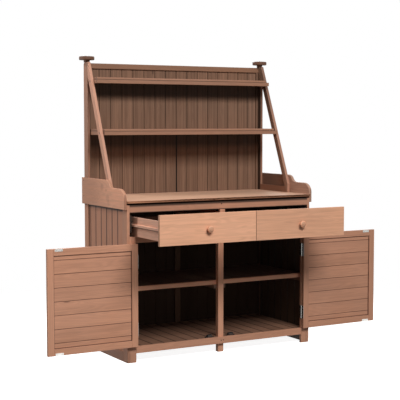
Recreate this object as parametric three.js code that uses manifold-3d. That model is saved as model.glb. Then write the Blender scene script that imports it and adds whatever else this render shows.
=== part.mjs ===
// Potting bench: a two-door, two-drawer timber cabinet with a worktop and a two-shelf hutch.
// Millimetres, +Z up, +Y to the back. The origin is the middle of the centre foot's sole.
// The doors stand open and the drawers are pulled out.
import * as THREE from "three";
import { mergeVertices } from "three/addons/utils/BufferGeometryUtils.js";
import Module from "manifold-3d";

const wasm = await Module();
wasm.setup();

// ---------------------------------------------------------------- driving dimensions
const benchWidth = 1150; // over the side frames
const benchDepth = 544;
const timber = 16; // thickness of frame timber
const seat = 0.3; // gap between pieces that are fitted into each other
const arris = 1.2; // eased edge of a timber

// cabinet
const carcassHeight = 827;
const sideStileWidth = 52;
const sideRailHeight = 52;
const sideTopRailHeight = 20;
const frontStileWidth = 36;
const centreStileWidth = 34;
const centreStileDepth = 26;
const bottomRailZ = 48;
const railHeight = 36.5;
const drawerRailHeight = 33;
const drawerBayHeight = 124.5; // between drawer rail and top front rail
const topFrontRailHeight = 40;
const rearRailHeight = 40;

// boards
const boardPitch = 69.9; // cover width of one tongued board
const boardThickness = 10;
const grooveWidth = 4;
const grooveDepth = 2;
const sideBoardSetIn = 1; // from the inner face of a side frame to its boards
const backInset = 18; // from the rear face to the front of the back boards

// floor and inner shelf
const floorThickness = 12;
const floorLedge = 14;
const innerShelfRise = 308.5; // from the floor boards to the top of the inner shelf
const innerShelfEdge = 23;
const innerShelfThickness = 12;
const bearerHeight = 20;
const bearerWidth = 20;
const centreBearerWidth = 72;
const bearerSetback = 14; // from the centre stile's front to the centre bearer's end

// worktop and wings
const worktopThickness = 12;
const worktopLift = 10; // height of the battens under the worktop
const worktopOverhang = 7;
const worktopBattenWidth = 34;
const worktopBattenSetback = 24;
const wingDrop = 23; // how far a wing hangs below the carcass top
const wingHeight = 147;
const wingStepHeight = 107;
const wingStepStart = 214; // where the high part of the wing ends, from the front
const wingStepEnd = 143;
const wingNose = new THREE.Vector2(62, 52);
const wingShoulder = 26;
const wingRound = 3; // rounded-over edge of a wing

// hutch
const hutchHeight = 739; // of the posts, above the worktop
const postChamfer = 10;
const strutThickness = 17;
const strutWidth = 36; // measured level, from front to rear
const strutLean = 0.42; // run per rise
const strutHeadProud = 5; // front of the strut in front of the post, at the top
const strutToeHeight = 50; // the toe is trimmed upright up to here
const footRailHeight = 34;
const hutchRailHeight = 29;
const hutchRailDepth = 28;
const cornerBatten = 16;
const cornerBattenDepth = 10;
const shelfBoardThickness = 11;
const shelfCleatHeight = 21;
const shelfCleatWidth = 24;
const shelfBoardShort = 24; // the shelf board stops short of the right end by this much
const upperShelfDrop = 86; // from the top of the posts to the top of the shelf
const upperShelfProud = 53; // in front of the struts
const lowerShelfDrop = 369;
const lowerShelfProud = 27;

// finials
const finialNeckRadius = 15;
const finialNeckHeight = 12;
const finialRadius = 42.5;
const finialThickness = 23;

// doors
const doorGapTop = 2.2;
const doorGapBottom = 2.5;
const doorMember = 35;
const doorTongue = 8; // how deep the boards sit in the door frame's rebate
const doorBoardThickness = 8;
const doorBoardSetIn = 1.5; // from the outer face of a door to its boards
const doorBottomBoard = 27.5; // height of the ripped board at the bottom that shows
const hingeGap = 3; // between hinge stile and door edge
const hingeHeight = 72;
const hingeInset = 92; // from an end of the door to the middle of its hinge
const barrelRadius = 3.5;
const pinRadius = 1.6;
const pinHeadRadius = 2.6;
const pinHeadHeight = 1.5;
const pinProud = 3.8; // pin axis in front of the cabinet's face
const leafThickness = 1.2;
const knuckleCount = 5;
const knuckleGap = 0.4;

// drawers
const drawerPull = 326; // how far the drawers are pulled out
const drawerFrontLap = 16.5; // how far a drawer front hangs over the drawer rail
const drawerFrontHeight = 155;
const drawerFrontInset = 13; // from the outer end of a drawer front to the side frame's face
const drawerFrontGap = 3; // between the two fronts
const drawerRailClearance = 2; // under the drawer sides
const drawerSideHeight = 100;
const drawerRearRoom = 40; // behind a shut drawer
const drawerSideThickness = 12;
const drawerBottomThickness = 5;
const drawerBottomLift = 4;
const drawerBottomGroove = 5;
const drawerBackHeight = 78;
const runnerProud = 12;
const runnerTipClearance = 5; // between a runner's edge and its guide
const runnerHeight = 13;
const runnerLift = 50.8; // from the bottom of the drawer side to the bottom of the runner
const runnerClearance = 1.2; // above the runner
const guideHeight = 88;
const guideRise = 22.5; // from the drawer rail to the bottom of a guide
const guideWeb = 13;
const centreGuideWeb = 25;
const guideLipHeight = 14;
const guideLipClearance = 2.5; // between a guide's lip and the drawer side
const guideFront = 4;
const guideLipFront = 22;
const drawerPostWidth = 32;
const knobLength = 26;
const knobRadius = 18;
const knobNeckRadius = 8;

// ---------------------------------------------------------------- derived sizes
const half = benchWidth / 2;
const bay = half - timber; // inner face of a side frame
const sideBoardRecess = timber - boardThickness - sideBoardSetIn;
const doorBoardRecess = timber - doorBoardThickness - doorBoardSetIn;
const stileInner = bay - frontStileWidth; // inner edge of a hinge stile
const centreStileY = timber + seat;
const backBoardsY = benchDepth - backInset;
const rearRailY = backBoardsY - timber;
const floorTop = bottomRailZ + railHeight;
const floorZ = floorTop - floorThickness;
const innerShelfTop = floorTop + innerShelfRise;
const shelfUnderside = innerShelfTop - innerShelfEdge;
const worktopZ = carcassHeight + worktopLift;
const hutchZ = worktopZ + worktopThickness;
const postTop = hutchZ + hutchHeight;
const topFrontRailZ = carcassHeight - topFrontRailHeight;
const drawerRailTop = topFrontRailZ - drawerBayHeight;
const drawerRailZ = drawerRailTop - drawerRailHeight;
const drawerSideZ = drawerRailTop + drawerRailClearance;
const drawerReach = bay - guideWeb - runnerTipClearance - runnerProud; // outer face of the outer side
const drawerInset = centreGuideWeb / 2 + runnerTipClearance + runnerProud; // outer face of the inner side
const runnerZ = drawerSideZ + runnerLift;
const guideZ = drawerRailTop + guideRise;
const doorWidth = stileInner - hingeGap - centreStileWidth / 2;
const doorZ = floorTop + doorGapBottom;
const doorHeight = drawerRailZ - doorGapTop - doorZ;

// ---------------------------------------------------------------- materials
const finish = (color, roughness, metalness = 0) => ({ color, roughness, metalness });
const stainedFir = finish(0x9c6f56, 0.62);
const shadedFir = finish(0x83593f, 0.66);
const paleFir = finish(0xc99a78, 0.58);
const darkFir = finish(0x6a4a38, 0.7);
const zincSteel = finish(0xb9bab6, 0.35, 1);

// ---------------------------------------------------------------- helpers
const bench = new THREE.Group();
bench.position.y = -(centreStileY + centreStileDepth / 2);

function add(name, geometry, look, parent = bench) {
  const mesh = new THREE.Mesh(geometry, new THREE.MeshStandardMaterial(look));
  mesh.name = name;
  parent.add(mesh);
  return mesh;
}

// A prism along x, y or z. Outline points are (y, z), (x, z) or (x, y), as the axis leaves them.
function prism(axis, outline, from, to, holes = [], round = 0) {
  const place = (p) => (axis === "y" ? new THREE.Vector2(p.y, p.x) : p.clone());
  const shape = new THREE.Shape(outline.map(place));
  for (const hole of holes.map((each) => each.map(place))) {
    const clockwise = THREE.ShapeUtils.isClockWise(hole);
    shape.holes.push(new THREE.Path(clockwise ? hole.reverse() : hole));
  }
  const rim = { bevelEnabled: round > 0, bevelThickness: round, bevelSize: round, bevelOffset: -round };
  const depth = to - from - 2 * round;
  const geometry = new THREE.ExtrudeGeometry(shape, { depth, bevelSegments: 3, ...rim });
  geometry.translate(0, 0, from + round);
  const [x, y, z] = [new THREE.Vector3(1, 0, 0), new THREE.Vector3(0, 1, 0), new THREE.Vector3(0, 0, 1)];
  const basis = new THREE.Matrix4();
  if (axis === "x") basis.makeBasis(y, z, x);
  if (axis === "y") basis.makeBasis(z, x, y);
  return geometry.applyMatrix4(basis);
}

const points = (...pairs) => pairs.map(([u, v]) => new THREE.Vector2(u, v));

function rectangle([u0, u1], [v0, v1], ease = 0) {
  if (!ease) return points([u0, v0], [u1, v0], [u1, v1], [u0, v1]);
  return points(
    [u0 + ease, v0], [u1 - ease, v0], [u1, v0 + ease], [u1, v1 - ease],
    [u1 - ease, v1], [u0 + ease, v1], [u0, v1 - ease], [u0, v0 + ease],
  );
}

// A squared timber with eased long edges, given by its three ranges and the axis it runs along.
function bar(axis, x, y, z, ease = arris) {
  if (axis === "x") return prism("x", rectangle(y, z, ease), ...x);
  if (axis === "y") return prism("y", rectangle(x, z, ease), ...y);
  return prism("z", rectangle(x, y, ease), ...z);
}

const block = (x, y, z) => bar("z", x, y, z, 0);

// The same range on the other side of the middle when side is -1.
const mirror = (side, [a, b]) => (side > 0 ? [a, b] : [-b, -a]);

// Cross-section of boards laid side by side from u0 to u1, with a V-groove on both faces at each joint.
function boardSection([u0, u1], [v0, v1], joints, ease = grooveDepth) {
  const w = grooveWidth / 2;
  const inside = joints.filter((u) => u - w > u0 + ease && u + w < u1 - ease);
  const under = inside.flatMap((u) => [[u - w, v0], [u, v0 + grooveDepth], [u + w, v0]]);
  const over = [...inside].reverse().flatMap((u) => [[u + w, v1], [u, v1 - grooveDepth], [u - w, v1]]);
  return points([u0, v0], ...under, [u1, v0], [u1, v1], ...over, [u0, v1]);
}

function jointsFrom(first, last) {
  const count = Math.floor((last - first) / boardPitch);
  return Array.from({ length: count + 1 }, (_, i) => first + i * boardPitch);
}

const centredJoints = () => {
  const count = Math.floor(bay / boardPitch);
  return Array.from({ length: 2 * count + 1 }, (_, i) => (i - count) * boardPitch);
};

const swap = (outline) => outline.map((p) => new THREE.Vector2(p.y, p.x));

function solid(geometry) {
  const bare = geometry.index ? geometry.toNonIndexed() : geometry.clone();
  bare.deleteAttribute("normal");
  bare.deleteAttribute("uv");
  const merged = mergeVertices(bare, 1e-4);
  return new wasm.Manifold(new wasm.Mesh({
    numProp: 3,
    vertProperties: merged.attributes.position.array,
    triVerts: new Uint32Array(merged.index.array),
  }));
}

function geometryOf(manifold) {
  const mesh = manifold.getMesh();
  const geometry = new THREE.BufferGeometry();
  geometry.setAttribute("position", new THREE.BufferAttribute(mesh.vertProperties, 3));
  geometry.setIndex(new THREE.BufferAttribute(mesh.triVerts, 1));
  const flat = geometry.toNonIndexed();
  flat.computeVertexNormals();
  return flat;
}

const join = (...pieces) => geometryOf(pieces.map(solid).reduce((a, b) => a.add(b)));
function cut(piece, ...cutters) {
  return geometryOf(cutters.map(solid).reduce((a, b) => a.subtract(b), solid(piece)));
}

// A full turn about +Z (up) or -Y (towards the front) from a profile of (radius, height) points.
function turned(profile, direction) {
  const geometry = new THREE.LatheGeometry(profile, 32);
  const basis = new THREE.Matrix4();
  const [x, y, z] = [new THREE.Vector3(1, 0, 0), new THREE.Vector3(0, 1, 0), new THREE.Vector3(0, 0, 1)];
  if (direction === "up") basis.makeBasis(x, z, y.negate());
  else basis.makeBasis(x, y.negate(), z.negate());
  return geometry.applyMatrix4(basis);
}

// ---------------------------------------------------------------- cabinet carcass
function sideFrame(side) {
  const x = mirror(side, [bay, half]);
  const openingY = [sideStileWidth, benchDepth - sideStileWidth];
  const opening = rectangle(openingY, [sideRailHeight, carcassHeight - sideTopRailHeight]);
  return prism("x", rectangle([0, benchDepth], [0, carcassHeight]), ...x, [opening]);
}

function sideBoards(side) {
  const x = mirror(side, [half - sideBoardRecess - boardThickness, half - sideBoardRecess]);
  const y = [sideStileWidth + seat, benchDepth - sideStileWidth - seat];
  const section = swap(boardSection(y, x, jointsFrom(sideStileWidth + boardPitch, y[1])));
  return prism("z", section, sideRailHeight + seat, carcassHeight - sideTopRailHeight - seat);
}

for (const [name, side] of [["left", -1], ["right", 1]]) {
  add(name + "_side_frame", sideFrame(side), stainedFir);
  add(name + "_side_boards", sideBoards(side), stainedFir);
  const stileX = mirror(side, [stileInner, bay]);
  add(name + "_hinge_stile", bar("z", stileX, [0, timber], [0, drawerRailTop]), stainedFir);
}

function bottomFrontRail() {
  const section = points(
    [0, bottomRailZ], [timber + floorLedge, bottomRailZ], [timber + floorLedge, floorZ - seat],
    [timber, floorZ - seat], [timber, floorTop], [0, floorTop],
  );
  const rail = prism("x", section, -stileInner, stileInner);
  const notch = centreStileWidth / 2 + seat;
  return cut(rail, block([-notch, notch], [timber, timber + 2 * floorLedge], [0, 2 * floorTop]));
}

add("bottom_front_rail", bottomFrontRail(), stainedFir);
const drawerRailZs = [drawerRailZ, drawerRailTop];
add("drawer_rail", bar("x", [-stileInner, stileInner], [0, timber], drawerRailZs), stainedFir);
add("top_front_rail", bar("x", [-bay, bay], [0, timber], [topFrontRailZ, carcassHeight]), stainedFir);

const centreStileX = [-centreStileWidth / 2, centreStileWidth / 2];
const centreStileBack = centreStileY + centreStileDepth;
add("centre_stile", bar("z", centreStileX, [centreStileY, centreStileBack], [0, drawerRailTop]), stainedFir);

const rearY = [rearRailY, backBoardsY];
const rearTopRailZs = [carcassHeight - rearRailHeight, carcassHeight];
add("rear_top_rail", bar("x", [-bay, bay], rearY, rearTopRailZs), shadedFir);
add("rear_bottom_rail", bar("x", [-bay, bay], rearY, [floorZ - seat - railHeight, floorZ - seat]), shadedFir);

function cabinetBack() {
  const y = [backBoardsY, backBoardsY + boardThickness];
  const section = boardSection([-bay + seat, bay - seat], y, centredJoints());
  const boards = prism("z", section, bottomRailZ, carcassHeight);
  const middle = bar("z", centreStileX, [rearRailY, backBoardsY + grooveDepth + 1],
    [floorTop + seat, carcassHeight - rearRailHeight - seat]);
  return join(boards, middle);
}

add("cabinet_back_boards", cabinetBack(), shadedFir);

function floorBoards() {
  const section = boardSection([-bay + seat, bay - seat], [floorZ, floorTop], centredJoints());
  const boards = prism("y", section, timber + seat, rearRailY + timber - seat);
  const notch = centreStileWidth / 2 + seat;
  return cut(boards, block([-notch, notch], [0, centreStileBack + seat], [0, 2 * floorTop]));
}

add("floor_boards", floorBoards(), shadedFir);

// The boards of the inner shelf run front to back behind a deeper front edge.
function innerShelf() {
  const y = [centreStileBack + seat, rearRailY - seat];
  const x = [-bay + seat, bay - seat];
  const section = boardSection(x, [innerShelfTop - innerShelfThickness, innerShelfTop], centredJoints());
  const boards = prism("y", section, ...y);
  const edge = bar("x", x, [y[0], y[0] + timber], [shelfUnderside, innerShelfTop - grooveDepth]);
  const rear = bar("x", x, [y[1] - timber, y[1]], [shelfUnderside, innerShelfTop - grooveDepth]);
  return join(boards, edge, rear);
}

add("inner_shelf", innerShelf(), shadedFir);

const bearerZ = [shelfUnderside - bearerHeight, shelfUnderside];
for (const [name, side] of [["left", -1], ["right", 1]]) {
  const x = mirror(side, [bay - bearerWidth, bay]);
  add(name + "_shelf_bearer", bar("y", x, [centreStileBack, rearRailY - seat], bearerZ), shadedFir);
}

function centreBearer() {
  const y = [centreStileY + bearerSetback, rearRailY - seat];
  const w = centreBearerWidth / 2;
  const n = centreStileWidth / 2 + seat;
  const fork = points([-w, y[0]], [-n, y[0]], [-n, centreStileBack + seat], [n, centreStileBack + seat],
    [n, y[0]], [w, y[0]], [w, y[1]], [-w, y[1]]);
  return prism("z", fork, ...bearerZ);
}

add("centre_shelf_bearer", centreBearer(), shadedFir);

// ---------------------------------------------------------------- drawer guides
// A guide is a web with two lips that make a groove for the drawer's runner.
const grooveZ = [runnerZ - seat, runnerZ + runnerHeight + runnerClearance];
const lipReach = drawerReach + guideLipClearance;

function sideGuideSection(web, lip) {
  const [z0, z1] = [guideZ, guideZ + guideHeight];
  const [g0, g1] = grooveZ;
  const face = bay - web;
  return points(
    [bay, z0], [face, z0], [face, g0 - guideLipHeight], [lip, g0 - guideLipHeight], [lip, g0], [face, g0],
    [face, g1], [lip, g1], [lip, g1 + guideLipHeight], [face, g1 + guideLipHeight], [face, z1], [bay, z1],
  );
}

function sideGuide(side) {
  const outline = sideGuideSection(guideWeb, lipReach).map((p) => new THREE.Vector2(side * p.x, p.y));
  const body = prism("y", outline, guideFront, rearRailY - seat);
  const front = block(mirror(side, [lipReach - 1, bay - guideWeb]), [0, guideLipFront], [0, carcassHeight]);
  return cut(body, front);
}

for (const [name, side] of [["left", -1], ["right", 1]]) {
  add(name + "_drawer_guide", sideGuide(side), shadedFir);
}

function centreGuide() {
  const web = centreGuideWeb / 2;
  const lip = drawerInset - guideLipClearance;
  const [z0, z1] = [guideZ, guideZ + guideHeight];
  const [g0, g1] = grooveZ;
  const right = [
    [web, z0], [web, g0 - guideLipHeight], [lip, g0 - guideLipHeight], [lip, g0], [web, g0],
    [web, g1], [lip, g1], [lip, g1 + guideLipHeight], [web, g1 + guideLipHeight], [web, z1],
  ];
  const left = [...right].reverse().map(([u, v]) => [-u, v]);
  const rails = prism("y", points(...right, ...left), guideLipFront, rearRailY - seat);
  const postZ = [drawerRailTop + seat, topFrontRailZ - seat];
  const post = bar("z", [-drawerPostWidth / 2, drawerPostWidth / 2], [0, timber], postZ);
  const neck = block([-web, web], [timber - 1, guideLipFront + 1], [z0, z1]);
  return join(rails, post, neck);
}

add("centre_drawer_guide", centreGuide(), stainedFir);

// ---------------------------------------------------------------- worktop and wings
function worktop() {
  const x = [-half + seat, half - seat];
  const top = bar("x", x, [-worktopOverhang, benchDepth], [worktopZ, hutchZ], arris);
  const battens = [worktopBattenSetback, benchDepth - worktopBattenWidth - worktopBattenSetback].map((y) =>
    block(x, [y, y + worktopBattenWidth], [carcassHeight, worktopZ + 1]));
  return join(top, ...battens);
}

add("worktop", worktop(), paleFir);

// Wing outline from the side: high at the rear, a rounded shoulder down to a low front with a round nose.
function wing(side) {
  const z0 = carcassHeight - wingDrop;
  const top = z0 + wingHeight;
  const step = z0 + wingStepHeight;
  const outline = new THREE.Path();
  outline.moveTo(0, z0);
  outline.lineTo(0, step - wingNose.y);
  outline.absellipse(wingNose.x, step - wingNose.y, wingNose.x, wingNose.y, Math.PI, Math.PI / 2, true);
  outline.lineTo(wingStepEnd, step);
  const bend = wingStepEnd + wingShoulder;
  outline.quadraticCurveTo(bend, step + 2, bend + 12, (step + top) / 2 + 4);
  outline.quadraticCurveTo(wingStepStart - 16, top, wingStepStart + 8, top);
  outline.lineTo(benchDepth, top);
  outline.lineTo(benchDepth, z0);
  return prism("x", outline.getPoints(12), ...mirror(side, [half, half + timber]), [], wingRound);
}

for (const [name, side] of [["left", -1], ["right", 1]]) add(name + "_wing", wing(side), stainedFir);

// ---------------------------------------------------------------- hutch
const postY = benchDepth - sideStileWidth;
const strutFrontAt = (z) => postY - strutHeadProud - strutLean * (postTop - z);

function post(side) {
  const outline = points([postY, hutchZ], [benchDepth, hutchZ], [benchDepth, postTop - postChamfer],
    [benchDepth - postChamfer, postTop], [postY, postTop]);
  return prism("x", outline, ...mirror(side, [bay, half]));
}

function strut(side) {
  const rearAt = (z) => strutFrontAt(z) + strutWidth;
  const head = postY - seat;
  const headZ = postTop - (strutWidth - strutHeadProud + seat) / strutLean;
  const toeZ = hutchZ + strutToeHeight;
  const toe = strutFrontAt(toeZ);
  const outline = points([toe, hutchZ], [rearAt(hutchZ), hutchZ], [head, headZ], [head, postTop],
    [strutFrontAt(postTop), postTop], [toe, toeZ]);
  return prism("x", outline, ...mirror(side, [half - strutThickness, half]));
}

function footRail(side) {
  const endAt = (z) => strutFrontAt(z) + strutWidth + seat;
  const top = hutchZ + footRailHeight;
  const outline = points([endAt(hutchZ), hutchZ], [postY, hutchZ], [postY, top], [endAt(top), top]);
  return prism("x", outline, ...mirror(side, [bay, half]));
}

function finial() {
  const r = finialRadius;
  const n = finialNeckHeight;
  const t = finialThickness;
  const profile = new THREE.Path();
  profile.moveTo(0, 0);
  profile.lineTo(finialNeckRadius, 0);
  profile.quadraticCurveTo(finialNeckRadius - 2, n * 0.7, finialNeckRadius + 5, n);
  profile.lineTo(r - 7, n + 1);
  profile.quadraticCurveTo(r, n + 2, r, n + t * 0.45);
  profile.quadraticCurveTo(r, n + t - 4, r - 5, n + t - 3);
  profile.lineTo(0, n + t);
  return turned(profile.getPoints(5), "up");
}

for (const [name, side] of [["left", -1], ["right", 1]]) {
  add(name + "_hutch_post", post(side), stainedFir);
  add(name + "_strut", strut(side), paleFir);
  add(name + "_foot_rail", footRail(side), shadedFir);
  const cap = add(name + "_finial", finial(), darkFir);
  cap.position.set(side * (half - timber / 2), postY + sideStileWidth / 2, postTop);
}

const hutchRailZ = postTop - hutchRailHeight - 5;
const hutchRailY = backBoardsY - cornerBattenDepth;
const hutchRailYs = [hutchRailY, hutchRailY + hutchRailDepth];
const hutchRailZs = [hutchRailZ, hutchRailZ + hutchRailHeight];
add("hutch_top_rail", bar("x", [-bay, bay], hutchRailYs, hutchRailZs), darkFir);

function hutchBoards() {
  const z = [hutchZ, hutchRailZ - seat];
  const y = [backBoardsY, backBoardsY + boardThickness];
  const section = boardSection([-bay + seat, bay - seat], y, centredJoints());
  const corner = (side) => bar("z", mirror(side, [bay - cornerBatten, bay - seat]),
    [hutchRailY, backBoardsY + grooveDepth + 1], z);
  return join(prism("z", section, ...z), corner(-1), corner(1));
}

add("hutch_back_boards", hutchBoards(), darkFir);

// A shelf is a thin board nailed on two cleats and a front batten.
function hutchShelf(drop, proud) {
  const top = postTop - drop;
  const front = strutFrontAt(top) - proud;
  const reach = half - strutThickness - seat;
  const notch = bay - cornerBatten - seat;
  const seatZ = top - shelfBoardThickness;
  const back = backBoardsY - seat;
  const backCorner = hutchRailY - seat;
  const right = reach - shelfBoardShort;
  const outline = points([-reach, front], [right, front], [right, back], [-notch, back],
    [-notch, backCorner], [-reach, backCorner]);
  const board = prism("z", outline, seatZ, top);
  const under = seatZ - shelfCleatHeight;
  const cleat = [-reach + shelfCleatWidth, reach - shelfCleatWidth - 1];
  const ladder = points([-reach, front], [reach, front], [reach, backCorner], [cleat[1], backCorner],
    [cleat[1], front + timber], [cleat[0], front + timber], [cleat[0], backCorner], [-reach, backCorner]);
  return join(board, prism("z", ladder, under, seatZ));
}

add("upper_shelf", hutchShelf(upperShelfDrop, upperShelfProud), stainedFir);
add("lower_shelf", hutchShelf(lowerShelfDrop, lowerShelfProud), stainedFir);

// ---------------------------------------------------------------- doors
const pinX = stileInner - hingeGap / 2;
const doorFaceY = -2 * pinProud; // the outer face of an open door, which looks back
const doorY = [doorFaceY - timber, doorFaceY];
const doorEdge = stileInner; // hinge edge of an open door
const doorX = [doorEdge, doorEdge + doorWidth];
const doorTop = doorZ + doorHeight;

// A door frame is rebated from its outer face for the boards.
function doorFrame(side) {
  const outer = rectangle(mirror(side, doorX), [doorZ, doorTop]);
  const opening = (reach) =>
    rectangle(mirror(side, [doorX[0] + reach, doorX[1] - reach]), [doorZ + reach, doorTop - reach]);
  const step = doorY[0] + doorBoardRecess - seat;
  const lip = prism("y", outer, doorY[0], step, [opening(doorMember)]);
  return join(lip, prism("y", outer, step, doorY[1], [opening(doorMember - doorTongue)]));
}

function doorBoards(side) {
  const reach = doorMember - doorTongue + seat;
  const z = [doorZ + reach, doorTop - reach];
  const y = [doorY[0] + doorBoardRecess, doorY[0] + doorBoardRecess + doorBoardThickness];
  const first = doorZ + doorMember + doorBottomBoard;
  const section = swap(boardSection(z, y, jointsFrom(first, z[1])));
  return prism("x", section, ...mirror(side, [doorX[0] + reach, doorX[1] - reach]));
}

// ---------------------------------------------------------------- hinges
const knucklePitch = hingeHeight / knuckleCount;

function rod(x, y, radius, [z0, z1], sides = 20) {
  const geometry = new THREE.CylinderGeometry(radius, radius, z1 - z0, sides);
  geometry.applyMatrix4(new THREE.Matrix4().makeBasis(
    new THREE.Vector3(1, 0, 0), new THREE.Vector3(0, 0, 1), new THREE.Vector3(0, -1, 0)));
  return geometry.translate(x, y, (z0 + z1) / 2);
}

// One leaf: a plate along the timber's edge and its share of the knuckles round the pin.
function leaf(side, middle, onFrame) {
  const z0 = middle - hingeHeight / 2;
  const x = side * pinX;
  const y = -pinProud;
  const plateY = onFrame ? [y, timber] : [y - pinProud - timber, y];
  const plate = block(mirror(side, [stileInner - leafThickness, stileInner]), plateY, [z0, z0 + hingeHeight]);
  const level = (i) => z0 + i * knucklePitch;
  const spans = Array.from({ length: knuckleCount }, (_, i) => [level(i), level(i + 1)]);
  const mine = spans.filter((_, i) => (i % 2 === 0) === onFrame);
  const others = spans.filter((_, i) => (i % 2 === 0) !== onFrame);
  const top = z0 + hingeHeight - 1;
  const inset = ([a, b]) => [a > z0 ? a + knuckleGap / 2 : a, b < top ? b - knuckleGap / 2 : b];
  const outset = ([a, b]) => [a - knuckleGap / 2, b + knuckleGap / 2];
  const clear = others.map((span) => rod(x, y, barrelRadius + knuckleGap, outset(span)));
  let body = solid(cut(plate, ...clear));
  for (const span of mine) body = body.add(solid(rod(x, y, barrelRadius, inset(span))));
  if (onFrame) {
    body = body.add(solid(rod(x, y, pinRadius, [z0 - 1, z0 + hingeHeight + 1])));
    for (const end of [z0 - pinHeadHeight, z0 + hingeHeight]) {
      body = body.add(solid(rod(x, y, pinHeadRadius, [end, end + pinHeadHeight])));
    }
  } else {
    body = body.subtract(solid(rod(x, y, pinRadius + seat, [z0 - 1, z0 + hingeHeight + 1])));
  }
  return geometryOf(body);
}

for (const [name, side] of [["left", -1], ["right", 1]]) {
  add(name + "_door_frame", doorFrame(side), stainedFir);
  add(name + "_door_boards", doorBoards(side), stainedFir);
  for (const [level, middle] of [["upper", doorTop - hingeInset], ["lower", doorZ + hingeInset]]) {
    add(`${name}_${level}_frame_leaf`, leaf(side, middle, true), zincSteel);
    add(`${name}_${level}_door_leaf`, leaf(side, middle, false), zincSteel);
  }
}

// ---------------------------------------------------------------- drawers
const drawerBack = -drawerPull;
const drawerRear = drawerBack + rearRailY - drawerRearRoom;
const drawerFrontZ = drawerRailTop - drawerFrontLap;

// Cross-section of a drawer side with its runner outside and the groove for the bottom inside.
function drawerSide(outer, towards) {
  const inner = outer - towards * drawerSideThickness;
  const tip = outer + towards * runnerProud;
  const [z0, z1] = [drawerSideZ, drawerSideZ + drawerSideHeight];
  const [r0, r1] = [runnerZ, runnerZ + runnerHeight];
  const [b0, b1] = [z0 + drawerBottomLift - seat, z0 + drawerBottomLift + drawerBottomThickness + seat];
  const groove = inner + towards * (drawerBottomGroove + seat);
  const outline = points(
    [inner, z0], [outer, z0], [outer, r0], [tip, r0], [tip, r1], [outer, r1],
    [outer, z1], [inner, z1], [inner, b1], [groove, b1], [groove, b0], [inner, b0],
  );
  return prism("y", outline, drawerBack, drawerRear);
}

function knob() {
  const profile = new THREE.Path();
  profile.moveTo(0, 0);
  profile.lineTo(knobNeckRadius + 2, 0);
  profile.quadraticCurveTo(knobNeckRadius - 1, 5, knobNeckRadius, 9);
  profile.quadraticCurveTo(knobRadius - 2, 10, knobRadius, 16);
  profile.quadraticCurveTo(knobRadius, knobLength - 2, knobRadius - 8, knobLength - 1);
  profile.quadraticCurveTo(4, knobLength, 0, knobLength);
  return turned(profile.getPoints(5), "front");
}

for (const [name, side] of [["left", -1], ["right", 1]]) {
  const frontX = mirror(side, [drawerFrontGap / 2, half - drawerFrontInset]);
  const frontZ = [drawerFrontZ, drawerFrontZ + drawerFrontHeight];
  const front = bar("x", frontX, [drawerBack - timber, drawerBack], frontZ);
  add(name + "_drawer_front", front, paleFir);
  add(name + "_drawer_outer_side", drawerSide(side * drawerReach, side), paleFir);
  add(name + "_drawer_inner_side", drawerSide(side * drawerInset, -side), paleFir);
  const inner = [drawerInset + drawerSideThickness, drawerReach - drawerSideThickness];
  const bottomZ = drawerSideZ + drawerBottomLift;
  const bottomTop = bottomZ + drawerBottomThickness;
  const bottomX = mirror(side, [inner[0] - drawerBottomGroove, inner[1] + drawerBottomGroove]);
  add(name + "_drawer_bottom", block(bottomX, [drawerBack, drawerRear], [bottomZ, bottomTop]), shadedFir);
  const backX = mirror(side, inner);
  add(name + "_drawer_back", bar("x", backX, [drawerRear - drawerSideThickness, drawerRear],
    [bottomTop + seat, bottomTop + seat + drawerBackHeight]), shadedFir);
  const grip = add(name + "_drawer_knob", knob(), paleFir);
  const gripZ = drawerFrontZ + drawerFrontHeight / 2 - 3;
  grip.position.set((frontX[0] + frontX[1]) / 2, drawerBack - timber, gripZ);
}

const part = new THREE.Group();
part.add(bench);
export default part;
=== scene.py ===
"""Potting bench: stained fir timber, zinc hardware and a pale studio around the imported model."""

import math
import random

import bmesh
import bpy
from bpy.props import FloatProperty, FloatVectorProperty, PointerProperty
from bpy.types import Operator, Panel, PropertyGroup
from mathutils import Matrix, Vector


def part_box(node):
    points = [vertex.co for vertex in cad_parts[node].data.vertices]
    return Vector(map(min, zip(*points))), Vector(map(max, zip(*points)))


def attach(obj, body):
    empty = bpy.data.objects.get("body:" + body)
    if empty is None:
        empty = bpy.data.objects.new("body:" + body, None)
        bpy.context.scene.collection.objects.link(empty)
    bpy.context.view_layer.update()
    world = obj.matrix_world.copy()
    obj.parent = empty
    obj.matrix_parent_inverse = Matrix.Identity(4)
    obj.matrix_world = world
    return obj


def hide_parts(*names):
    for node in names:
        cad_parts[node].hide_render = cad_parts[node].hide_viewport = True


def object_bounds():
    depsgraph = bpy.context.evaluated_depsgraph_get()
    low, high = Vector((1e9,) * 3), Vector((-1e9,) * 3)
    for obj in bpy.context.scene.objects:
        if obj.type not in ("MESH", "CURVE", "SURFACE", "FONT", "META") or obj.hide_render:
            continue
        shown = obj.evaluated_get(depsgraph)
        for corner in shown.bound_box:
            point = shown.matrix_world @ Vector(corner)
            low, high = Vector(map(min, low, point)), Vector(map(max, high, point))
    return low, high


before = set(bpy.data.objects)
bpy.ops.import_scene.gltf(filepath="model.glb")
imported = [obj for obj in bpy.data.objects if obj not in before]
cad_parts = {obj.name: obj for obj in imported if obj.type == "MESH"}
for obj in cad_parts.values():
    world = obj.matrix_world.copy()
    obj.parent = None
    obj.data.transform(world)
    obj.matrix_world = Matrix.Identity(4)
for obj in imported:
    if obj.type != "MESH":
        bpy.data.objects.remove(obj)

bl_info = {
    "name": "Potting bench",
    "version": (1, 0, 0),
    "blender": (4, 5, 0),
    "location": "View3D > Sidebar > Bench",
    "description": "Finishes a potting bench: stain, boards, turnings, hinges, catches and a studio",
    "category": "Object",
}

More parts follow.
